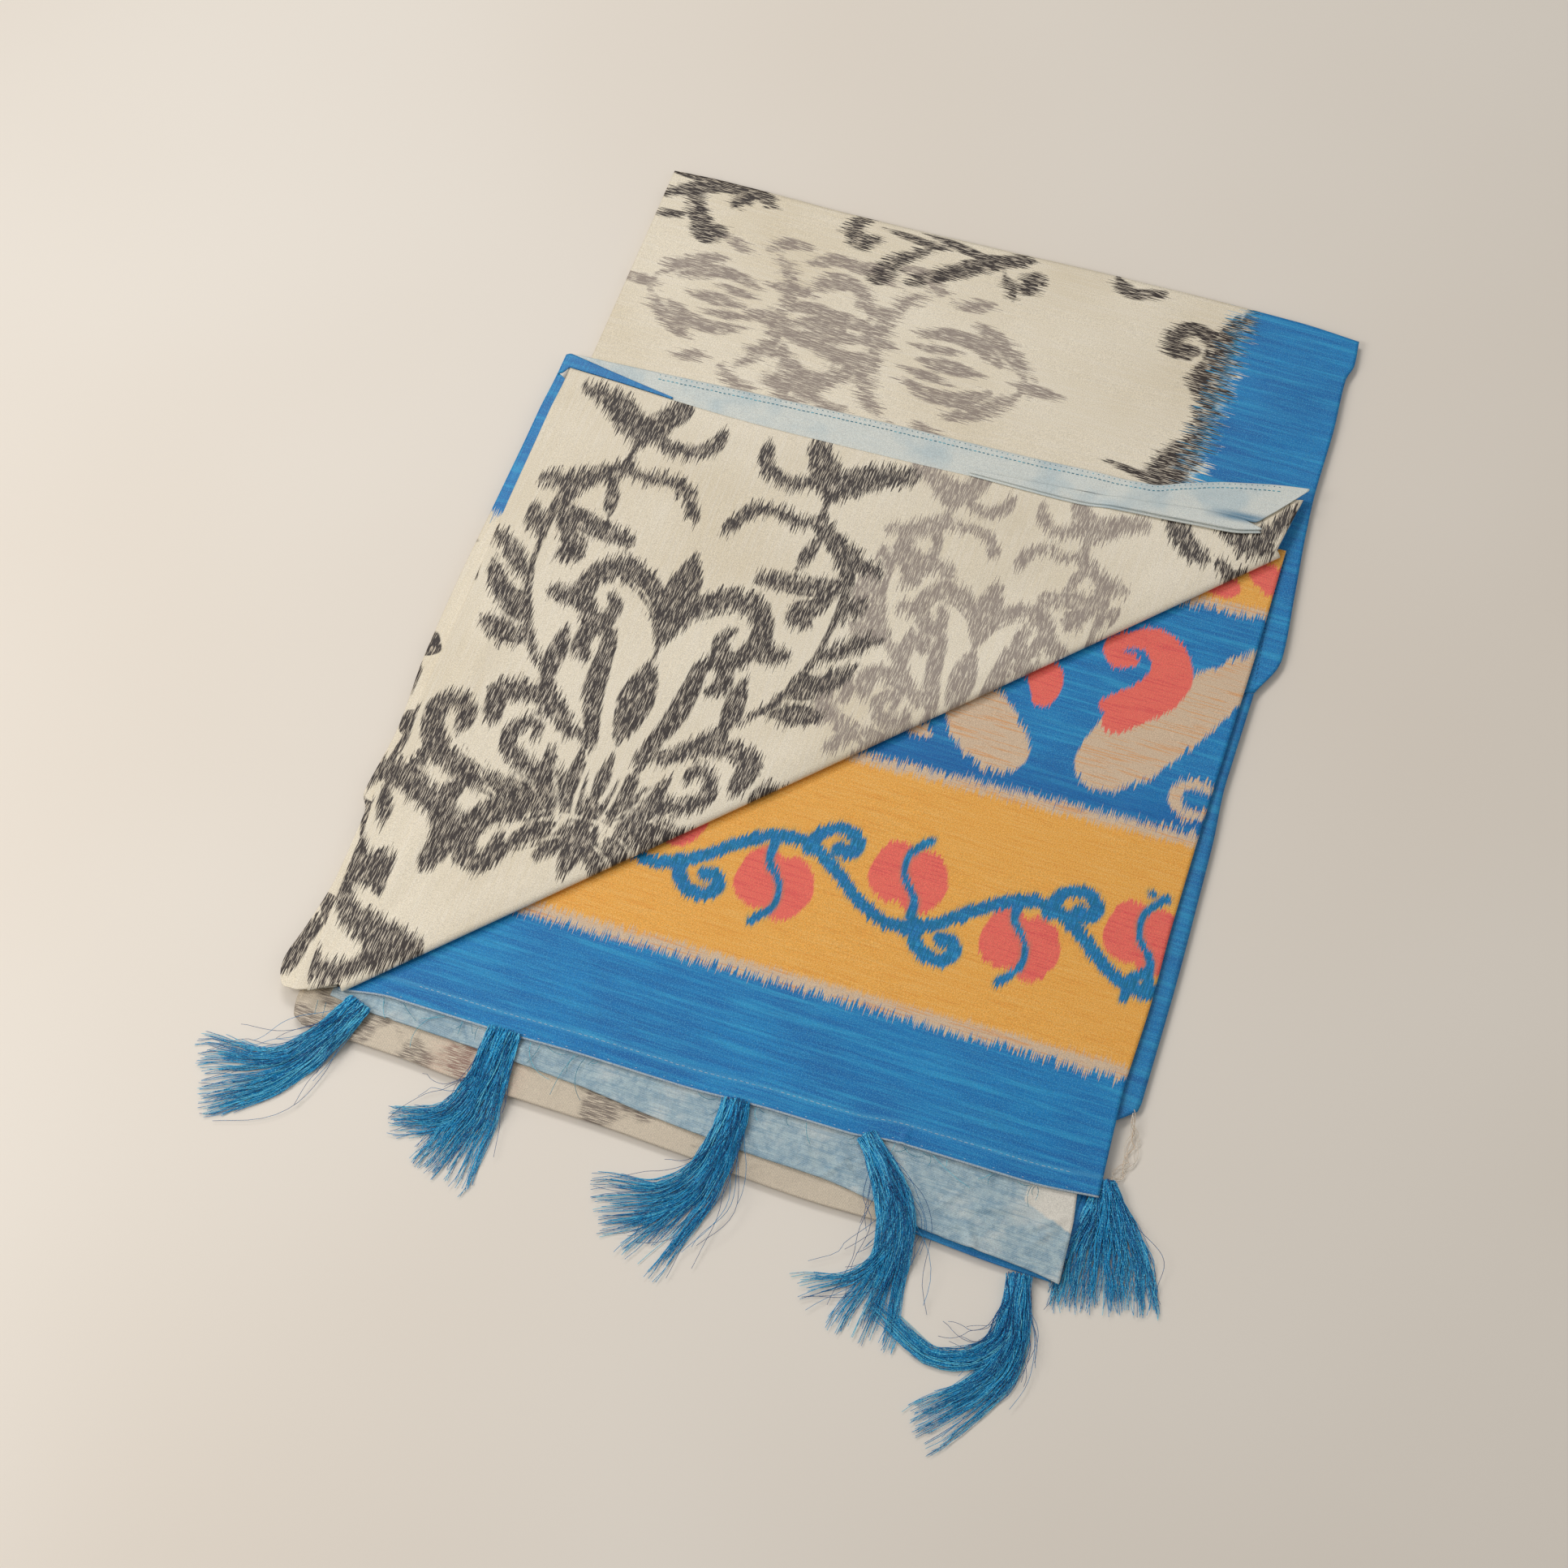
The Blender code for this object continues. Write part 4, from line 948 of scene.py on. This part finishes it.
# the turned back corner: tucked stretch, bend over the diagonal, then out to the cloth's own edge
flapEdge = [
    (0.0, -0.276, -0.377), (0.012, -0.281, -0.363), (0.038, -0.284, -0.334), (0.094, -0.288, -0.271),
    (0.122, -0.289, -0.24), (0.158, -0.295, -0.199), (0.199, -0.291, -0.153), (0.3, -0.291, -0.039),
    (0.392, -0.293, 0.064), (0.488, -0.293, 0.172), (0.5, -0.293, 0.185), (0.512, -0.279, 0.1845),
    (0.617, -0.16, 0.181), (0.731, -0.03, 0.185), (0.842, 0.097, 0.192), (0.889, 0.15, 0.194),
    (0.924, 0.19, 0.207), (0.95, 0.22, 0.224), (0.976, 0.25, 0.238), (1.0, 0.277, 0.245),
]
innerEdge = [
    (0.0, -0.284, -0.377), (0.014, -0.294, -0.377), (0.028, -0.301, -0.368), (0.04, -0.303, -0.357),
    (0.07, -0.298, -0.327), (0.11, -0.293, -0.282), (0.155, -0.294, -0.23), (0.17, -0.301, -0.215),
    (0.215, -0.298, -0.162), (0.28, -0.303, -0.092), (0.345, -0.304, -0.02), (0.395, -0.303, 0.038),
    (0.5, -0.301, 0.179),
]
flapRows = {"tuck": 7, "bend": 14, "open": 142, "columns": 288}


def flapPlaces(share):  # along the diagonal: its line, the end of the bend and the cloth's edge
    start = diagonal["start"][:, None] + diagonal["run"][:, None] * share
    bend = start + diagonal["inward"][:, None] * diagonal["round"]
    return start, bend, pairAlong(flapEdge, share)


def placeFlap(u, v):
    tuckEnd, bendEnd = flapRows["tuck"], flapRows["tuck"] + flapRows["bend"]
    row = np.round(v * (bendEnd + flapRows["open"]))
    start, bend, end = flapPlaces(u)
    inward = diagonal["inward"][:, None]
    reach = 0.005 + 0.035 * smoothStep(np.minimum(u, 1 - u) / 0.12)
    tucked = bend + inward * (reach * (1 - row / tuckEnd))
    angle = math.pi * np.clip((row - tuckEnd) / flapRows["bend"], 0, 1)
    bent = start + inward * (diagonal["round"] * (1 - np.sin(angle)))
    low = restingOn(*bend)
    bentHeight = low + (flapHeight(*bend) - low) * (1 - np.cos(angle)) / 2
    opened = bend + (end - bend) * np.clip((row - bendEnd) / flapRows["open"], 0, 1)
    stretches = (*tucked, restingOn(*tucked)), (*bent, bentHeight), (*opened, flapHeight(*opened))
    isTucked, isBent = row < tuckEnd, row <= bendEnd
    axes = zip(*stretches)  # for x, y and z: its values in the three stretches
    return [np.where(isTucked, first, np.where(isBent, second, last)) for first, second, last in axes]


flap = gridSheet(
    "turnedCorner", (flapRows["columns"], flapRows["tuck"] + flapRows["bend"] + flapRows["open"]), placeFlap,
    "flap", "flap")
printInk(flap, "charcoalInk", flapCharcoal, cuts=flapCuts)
printInk(flap, "greyInk", flapGrey, cuts=flapCuts)


def placeInner(u, v):
    bend, end = flapPlaces(u)[1:]
    outer = np.where(u <= 0.5, pairAlong(innerEdge, u), bend + (end - bend) * 0.888)
    share = through([0, 0.5, 1], [0, 0.88, 1], v)  # rows close up towards the edge that peeks out
    x, y = bend + (outer - bend) * share
    return x, y, innerHeight(x, y)


innerLayer = gridSheet("innerLayer", (280, 40), placeInner, "inner", "flap_inner")
printInk(innerLayer, "charcoalInk", innerCharcoal)

# strips along the corner's top edge, each row: x, low y, high y
hemStrip = [
    (-0.299, 0.185, 0.1985), (-0.284, 0.183, 0.2), (-0.266, 0.17, 0.2012), (-0.169, 0.169, 0.208),
    (-0.04, 0.173, 0.216), (0.057, 0.178, 0.22), (0.082, 0.183, 0.2212), (0.1, 0.201, 0.2222),
    (0.163, 0.2045, 0.2235), (0.188, 0.208, 0.233), (0.216, 0.2115, 0.243), (0.247, 0.2125, 0.25),
    (0.256, 0.222, 0.2518), (0.269, 0.2395, 0.254), (0.279, 0.2538, 0.2556),
]
leafStrip = [
    (0.03, 0.188, 0.1905), (0.098, 0.189, 0.1975), (0.167, 0.1938, 0.2035), (0.207, 0.1965, 0.209),
    (0.234, 0.1985, 0.21), (0.254, 0.2036, 0.2048),
]
wedgeStrip = [
    (-0.3005, 0.177, 0.196), (-0.297, 0.179, 0.198), (-0.2935, 0.1856, 0.1975), (-0.25, 0.1846, 0.1905),
    (-0.208, 0.1828, 0.1843),
]


def stripSheet(name, table, size, height, material, node, shift=0.0):
    def place(u, v):
        x = table[0][0] + (table[-1][0] - table[0][0]) * u
        low, high = pairAlong(table, x) + shift
        y = low + (high - low) * v
        return x, y, height(x, y)

    return gridSheet(name, size, place, material, node)


hemShape = {
    "trough": [(0.205, 0.222, 24, 0.055, 0.0045, 0.0012), (0.178, 0.218, 50, 0.016, 0.0018, 0.0009)],
    "lip": [(0.235, 0.243, 20, 0.06, 0.004, 0.0006)],
}


def hemHeight(x, y):  # flat on the left, then up onto the turned back corner
    raised = smoothStep((x - 0.086) / 0.042)
    edgeY = alongEdge(flapEdge, 0.5 + (x + 0.293) / 1.14, 2)
    past = smoothStep((y - edgeY - 0.005) / 0.03)
    flat = level(2)
    top = flapHeight(x, y) + cloth["step"] + cloth["gap"]
    hollow = raised * creases(hemShape["trough"], x, y) * 0.6
    return flat + raised * (top - flat) * (1 - 0.45 * past) + creases(hemShape["lip"], x, y) - hollow


flapHem = stripSheet("turnedHem", hemStrip, (300, 26), hemHeight, "hem", "flap_hem")
blueCorner = stripSheet(
    "blueCorner", wedgeStrip, (60, 8), lambda x, y: level(3) + 0 * x, "inner", "flap_corner")
for number in (1, 2):
    near = number * 0.00095
    above = number * (cloth["step"] + cloth["gap"] / 2) + cloth["gap"] / 2

    def leafHeight(x, y):
        return flapHeight(x, y) + near + (above - near) * smoothStep((x - 0.12) / 0.07)

    stripSheet(
        f"hemLeaf{number}", leafStrip, (120, 8), leafHeight, "hem",
        f"flap_hem_leaf_{number}", (number - 1) * 0.0022)
print("turned back corner made")


# threads: tapered tubes of four sides, all of one lot in one mesh
def threadPiece(name, paths, radius, material, node=None, tip=0.45):
    data = bpy.data.curves.new(name, "CURVE")
    data.dimensions = "3D"
    data.bevel_depth = radius
    data.bevel_resolution = 0
    data.use_fill_caps = True
    for path in paths:
        line = data.splines.new("POLY")
        line.points.add(len(path) - 1)
        line.points.foreach_set("co", np.column_stack([path, np.ones(len(path))]).ravel())
        line.points.foreach_set("radius", np.linspace(1, tip, len(path)))
    guide = linked(name + "Guide", data)
    bpy.context.view_layer.update()
    mesh = bpy.data.meshes.new_from_object(guide.evaluated_get(bpy.context.evaluated_depsgraph_get()))
    bpy.data.objects.remove(guide)
    mesh.name = name
    mesh.materials.clear()
    return addPiece(name, mesh, material, node)


def restHeight(x, y):  # the lowest a thread can lie, over the layers' front edges or the floor
    under = alongEdge(underEdges["front"], np.clip((x + 0.262) / 0.541, 0, 1))
    body = alongEdge(bodyEdges["front"], np.clip((x + 0.281) / 0.562, 0, 1))
    onUnder = level(2) + cloth["wall"] / 2 + 3 * cloth["gap"]
    onBody = level(1) + cloth["wall"] / 2 + 2 * cloth["gap"]
    first = smoothStep((under - 0.009 - y) / 0.014)
    second = smoothStep((body - 0.007 - y) / 0.02)
    return onUnder + (onBody - onUnder) * first + (0.0006 - onBody) * second


# each bundle: number of threads, points along its middle and its width there, in millimetres
tassels = {
    "tassel_1": {"seed": 3, "strays": 30, "bundles": [
        (170, [(-239, -371), (-243, -382), (-251, -400), (-265, -422), (-285, -441), (-316, -457)],
          [23, 22, 21, 24, 42, 72])]},
    "tassel_2": {"seed": 5, "strays": 30, "bundles": [
        (70, [(-141, -358), (-141, -375), (-140, -395), (-145, -416), (-160, -432), (-184, -440)],
          [17, 16, 16, 17, 20, 26]),
        (105, [(-132, -358), (-132, -375), (-132, -395), (-134, -418), (-141, -440), (-149, -466)],
          [18, 19, 21, 28, 42, 62])]},
    "tassel_3": {"seed": 7, "strays": 32, "bundles": [
        (125, [(31, -356), (33, -374), (32, -396), (26, -418), (8, -440), (-26, -456)],
          [20, 20, 19, 20, 28, 48]),
        (60, [(36, -356), (38, -374), (37, -400), (33, -424), (23, -450), (10, -482)],
          [15, 15, 16, 19, 25, 36])]},
    "tassel_4": {"seed": 9, "strays": 40, "bundles": [
        (140, [(124, -352), (136, -364), (152, -384), (163, -406), (168, -436), (166, -480)],
          [15, 18, 22, 22, 22, 42]),
        (34, [(128, -354), (142, -368), (158, -390), (164, -412), (150, -446), (120, -464)],
          [8, 9, 10, 9, 8, 14])]},
    "tassel_5": {"height": 0.0030, "seed": 11, "strays": 40, "loose": 0.86, "bundles": [
        (70, [(250, -413), (254, -434), (253, -456), (240, -476), (214, -484), (174, -466)],
          [17, 17, 15, 14, 12, 14]),
        (105, [(253, -413), (257, -434), (262, -456), (260, -478), (248, -500), (222, -528)],
          [18, 18, 19, 21, 26, 42])]},
    "tassel_6": {"height": 0.0034, "seed": 13, "strays": 22, "pull": 0.12, "bundles": [
        (190, [(288, -330), (293, -346), (298, -363), (302, -380), (306, -398), (311, -417)],
          [14, 30, 44, 56, 64, 70])]},
}
tasselLook = {
    "radius": 0.00041, "strayRadius": 0.00022, "more": 1.4, "thick": 0.0048, "low": 0.0006,
    "points": 19, "strayPoints": 24, "tufts": 6,
}


def tasselThreads(row):
    pick = random.Random(row["seed"])
    paths, strays = [], []
    tufts = [pick.uniform(-0.5, 0.5) for k in range(tasselLook["tufts"])]
    for count, middle, widths in row["bundles"]:
        middle = np.array(middle, float) * 0.001
        stops, end = np.linspace(0, 1, len(middle)), middle[-1] - middle[-2]
        total = int(count * tasselLook["more"])
        for k in range(total + row["strays"] // len(row["bundles"])):
            stray = k >= total
            across, up = pick.uniform(-0.5, 0.5), pick.random()
            length = pick.uniform(0.45, row.get("loose", 1.04)) if stray else pick.uniform(0.84, 1.06)
            start = 0 if stray else 0.075 * pick.random() ** 1.5
            s = np.linspace(start, length, tasselLook["strayPoints" if stray else "points"])
            past = 5 * np.clip(s - 1, 0, 1)
            x, y = [through(stops, middle[:, axis], s) + past * end[axis] for axis in (0, 1)]
            dx, dy = np.gradient(x), np.gradient(y)
            size = np.hypot(dx, dy) + 1e-9
            spread = through(stops, np.array(widths) * 0.001, s) * (0.8 + 0.32 * smoothStep(s * 1.6))
            wobble = 0.0009 * np.sin(s * pick.uniform(9, 26) + pick.uniform(0, 6))
            wobble = wobble + 0.0028 * s ** 2 * np.sin(s * pick.uniform(3, 9) + pick.uniform(0, 6))
            tuft = min(tufts, key=lambda place: abs(place - across))
            pull = row.get("pull", 0.42)
            if stray:  # it wanders out of the bundle
                pull = 0
                out = pick.choice((-1, 1)) * pick.uniform(0.006, 0.024)
                wobble = wobble + out * smoothStep((s - pick.uniform(0.0, 0.35)) / pick.uniform(0.5, 0.9))
                wobble = wobble + 0.005 * s * np.sin(s * pick.uniform(5, 16))
            move = (across + pull * (tuft - across) * smoothStep((s - 0.45) / 0.55)) * spread + wobble
            x, y = np.clip(x - dy / size * move, -0.347, 0.353), np.clip(y + dx / size * move, -0.562, None)
            crown = 1 - (2 * abs(across)) ** 2 * 0.5
            rest = restHeight(x, y)
            if "height" in row:
                rest = row["height"] + (tasselLook["low"] - row["height"]) * smoothStep(s / 0.3)
            z = rest + up * (tasselLook["thick"] * (1 - 0.55 * smoothStep(s)) * crown)
            if stray:
                arch = 0.004 * smoothStep(s / 0.5) * pick.random() * np.sin(np.clip(s, 0, 1) * math.pi)
                z = z + tasselLook["low"] + arch
            (strays if stray else paths).append(np.column_stack([x, y, z]))
    return paths, strays


for node, row in tassels.items():
    paths, strays = tasselThreads(row)
    name = node.replace("_", "")
    threadPiece(name + "Threads", paths, tasselLook["radius"], "tassel", node)
    threadPiece(name + "Loose", strays, tasselLook["strayRadius"], "strayThread", tip=0.7)
print("tassels made:", len(tassels))


def stitchLine(points, length, gap, height, seed, lift=0.0004):  # dashes along a line on the cloth
    pick = random.Random(seed)
    jitter = 0.0002
    points = np.array(points, float)
    total = np.concatenate([[0], np.cumsum(np.hypot(*np.diff(points, axis=0).T))])
    at = 0.0
    dashes = []
    while at + length < total[-1]:
        s = at + np.linspace(0, length * pick.uniform(0.8, 1.1), 4)
        x = np.interp(s, total, points[:, 0])
        y = np.interp(s, total, points[:, 1]) + pick.uniform(-jitter, jitter)
        z = height(x, y) + cloth["thin"] / 2 + lift * np.sin(np.linspace(0.15, math.pi - 0.15, 4)) - 0.0001
        dashes.append(np.column_stack([x, y, z]))
        at += length + gap
    return dashes


hemLine = [(x, alongEdge(hemStrip, x, 2) - 0.0062) for x in np.arange(-0.225, 0.262, 0.004)]
outerLine = [(x, y + 0.0042) for x, y in hemLine]
hemDashes = stitchLine(hemLine, 0.002, 0.0015, hemHeight, 2)
hemDashes += stitchLine(outerLine, 0.0006, 0.0036, hemHeight, 3, 0.0003)
hemStitches = threadPiece("hemStitches", hemDashes, 0.00038, "stitch", tip=0.9)
palluLine = [(x, palluFront(x) + 0.015) for x in np.arange(-0.205, 0.27, 0.004)]
edgeLine = [(x, palluFront(x) + 0.003) for x in np.arange(-0.225, 0.27, 0.004)]
palluDashes = stitchLine(palluLine, 0.0024, 0.0018, palluHeight, 4, 0.0002)
palluDashes += stitchLine(edgeLine, 0.0012, 0.009, palluHeight, 6, 0.0002)
palluStitches = threadPiece("endHemStitches", palluDashes, 0.0002, "stitchBlue", tip=0.9)
borderLine = [(0.2835, 0.082), (0.2805, 0.111), (0.2775, 0.14), (0.277, 0.2)]
borderDashes = stitchLine(borderLine, 0.0016, 0.0024, backHeight, 8, 0.0003)
borderStitches = threadPiece("borderStitches", borderDashes, 0.00032, "strayThread", tip=0.9)


def looseThreads():  # single frayed threads that lie across the front edges
    pick = random.Random(17)
    found = []
    for k in range(46):
        x = pick.uniform(-0.235, 0.262)
        y = top = palluFront(x) - 0.0012
        heading = math.radians(pick.uniform(-150, -30))
        bend, length = math.radians(pick.uniform(-90, 90)), pick.choice((0.005, 0.007, 0.01, 0.016, 0.034))
        places = []
        for s in np.linspace(0, 1, 16):
            places.append((x, y, restHeight(x, y) + 0.0009 + 0.0012 * s * (1 - s)))
            turn = heading + bend * s
            x, y = x + length / 15 * math.cos(turn), min(y + length / 15 * math.sin(turn), top)
        found.append(np.array(places))
    # short stitches over the left end of the low edge
    for x in (-0.268, -0.262, -0.255, -0.249, -0.243, -0.236):
        y = np.linspace(-0.3795, -0.39, 5) + pick.uniform(-0.001, 0.001)
        line = x + np.linspace(0, 0.0015, 5)
        found.append(np.column_stack([line, y, restHeight(line, y) + 0.0006]))
    return found


def selvageLoops():  # white threads pulled out at the right border's low end
    pick = random.Random(23)
    s = np.linspace(0, 1, 40)
    found = []
    for k in range(6):
        x = 0.292 + 0.01 * s * (1 - s) * pick.uniform(1, 4)
        x = x + 0.0035 * np.sin(s * pick.uniform(14, 24) + pick.uniform(0, 6)) * s
        y = -0.277 - 0.052 * s + 0.003 * np.sin(s * pick.uniform(9, 16) + pick.uniform(0, 6))
        found.append(np.column_stack([x, y, 0.005 - 0.004 * smoothStep(s / 0.4) + 0.0012 * pick.random()]))
    return found


threadPiece("frayedThreads", looseThreads(), 0.0002, "stitch", tip=0.8)
threadPiece("selvageThreads", selvageLoops(), 0.0003, "whiteThread", tip=0.8)

# floor, camera and lights
def makeFloor():
    mesh = gridMesh("floor", (1, 1), lambda u, v: ((u - 0.5) * 8, (v - 0.5) * 8, 0 * u - 0.0002))
    coords = newFinish("floor", "pale table top")[0]
    clouds = ramp(noise(coords, 1.4, 2.0), 0.3, 0.7)
    feedShader({
        "Base Color": blend(clouds, tone(232, 224, 213), tone(237, 231, 222)), "Roughness": 0.55,
        "Specular IOR Level": 0.25})
    mesh.materials.append(finish["floor"])
    linked("floor", mesh)


makeFloor()
view = {
    "focal": 4000.0, "image": 1932.0, "sensor": 36.0, "distance": 2.35163, "azimuth": 18.8127,
    "elevation": 61.0, "target": Vector((-0.01803, -0.10731, 0.0)),
}


def aimed(obj, place, back):
    obj.location = place
    obj.rotation_euler = back.to_track_quat("Z", "Y").to_euler()


def makeCamera():
    az, el = math.radians(view["azimuth"]), math.radians(view["elevation"])
    back = Vector((math.sin(az) * math.cos(el), -math.cos(az) * math.cos(el), math.sin(el)))
    data = bpy.data.cameras.new("camera")
    data.sensor_width = view["sensor"]
    data.lens = view["focal"] / view["image"] * view["sensor"]
    data.clip_end = 50
    bpy.context.scene.camera = linked("camera", data)
    aimed(bpy.context.scene.camera, view["target"] + back * view["distance"], back)


def makeLight(name, place, aim, size, power, colour):
    data = bpy.data.lights.new(name, "AREA")
    data.size = size
    data.energy = power
    data.color = colour
    aimed(linked(name, data), place, Vector(place) - Vector(aim))


makeCamera()
makeLight("window", (-1.7, 1.5, 2.4), (-0.2, -0.1, 0), 0.8, 11.5, (1.0, 0.965, 0.92))
makeLight("back window", (-0.9, 1.5, 1.9), (-0.1, 0, 0), 0.7, 12.5, (1.0, 0.98, 0.96))
makeLight("low left", (-1.2, -0.8, 1.3), (-0.38, -0.42, 0), 0.9, 14.0, (1.0, 0.96, 0.92))
makeLight("right wall", (1.3, 0.3, 1.2), (0.35, 0.20, 0), 1.0, 1.3, (1.0, 0.97, 0.94))
world = bpy.data.worlds.new("room")
world.use_nodes = True
glow = world.node_tree.nodes["Background"].inputs
glow["Color"].default_value = (1.0, 0.97, 0.93, 1)
glow["Strength"].default_value = 0.345
bpy.context.scene.world = world
bpy.context.scene.view_settings.view_transform = "Standard"
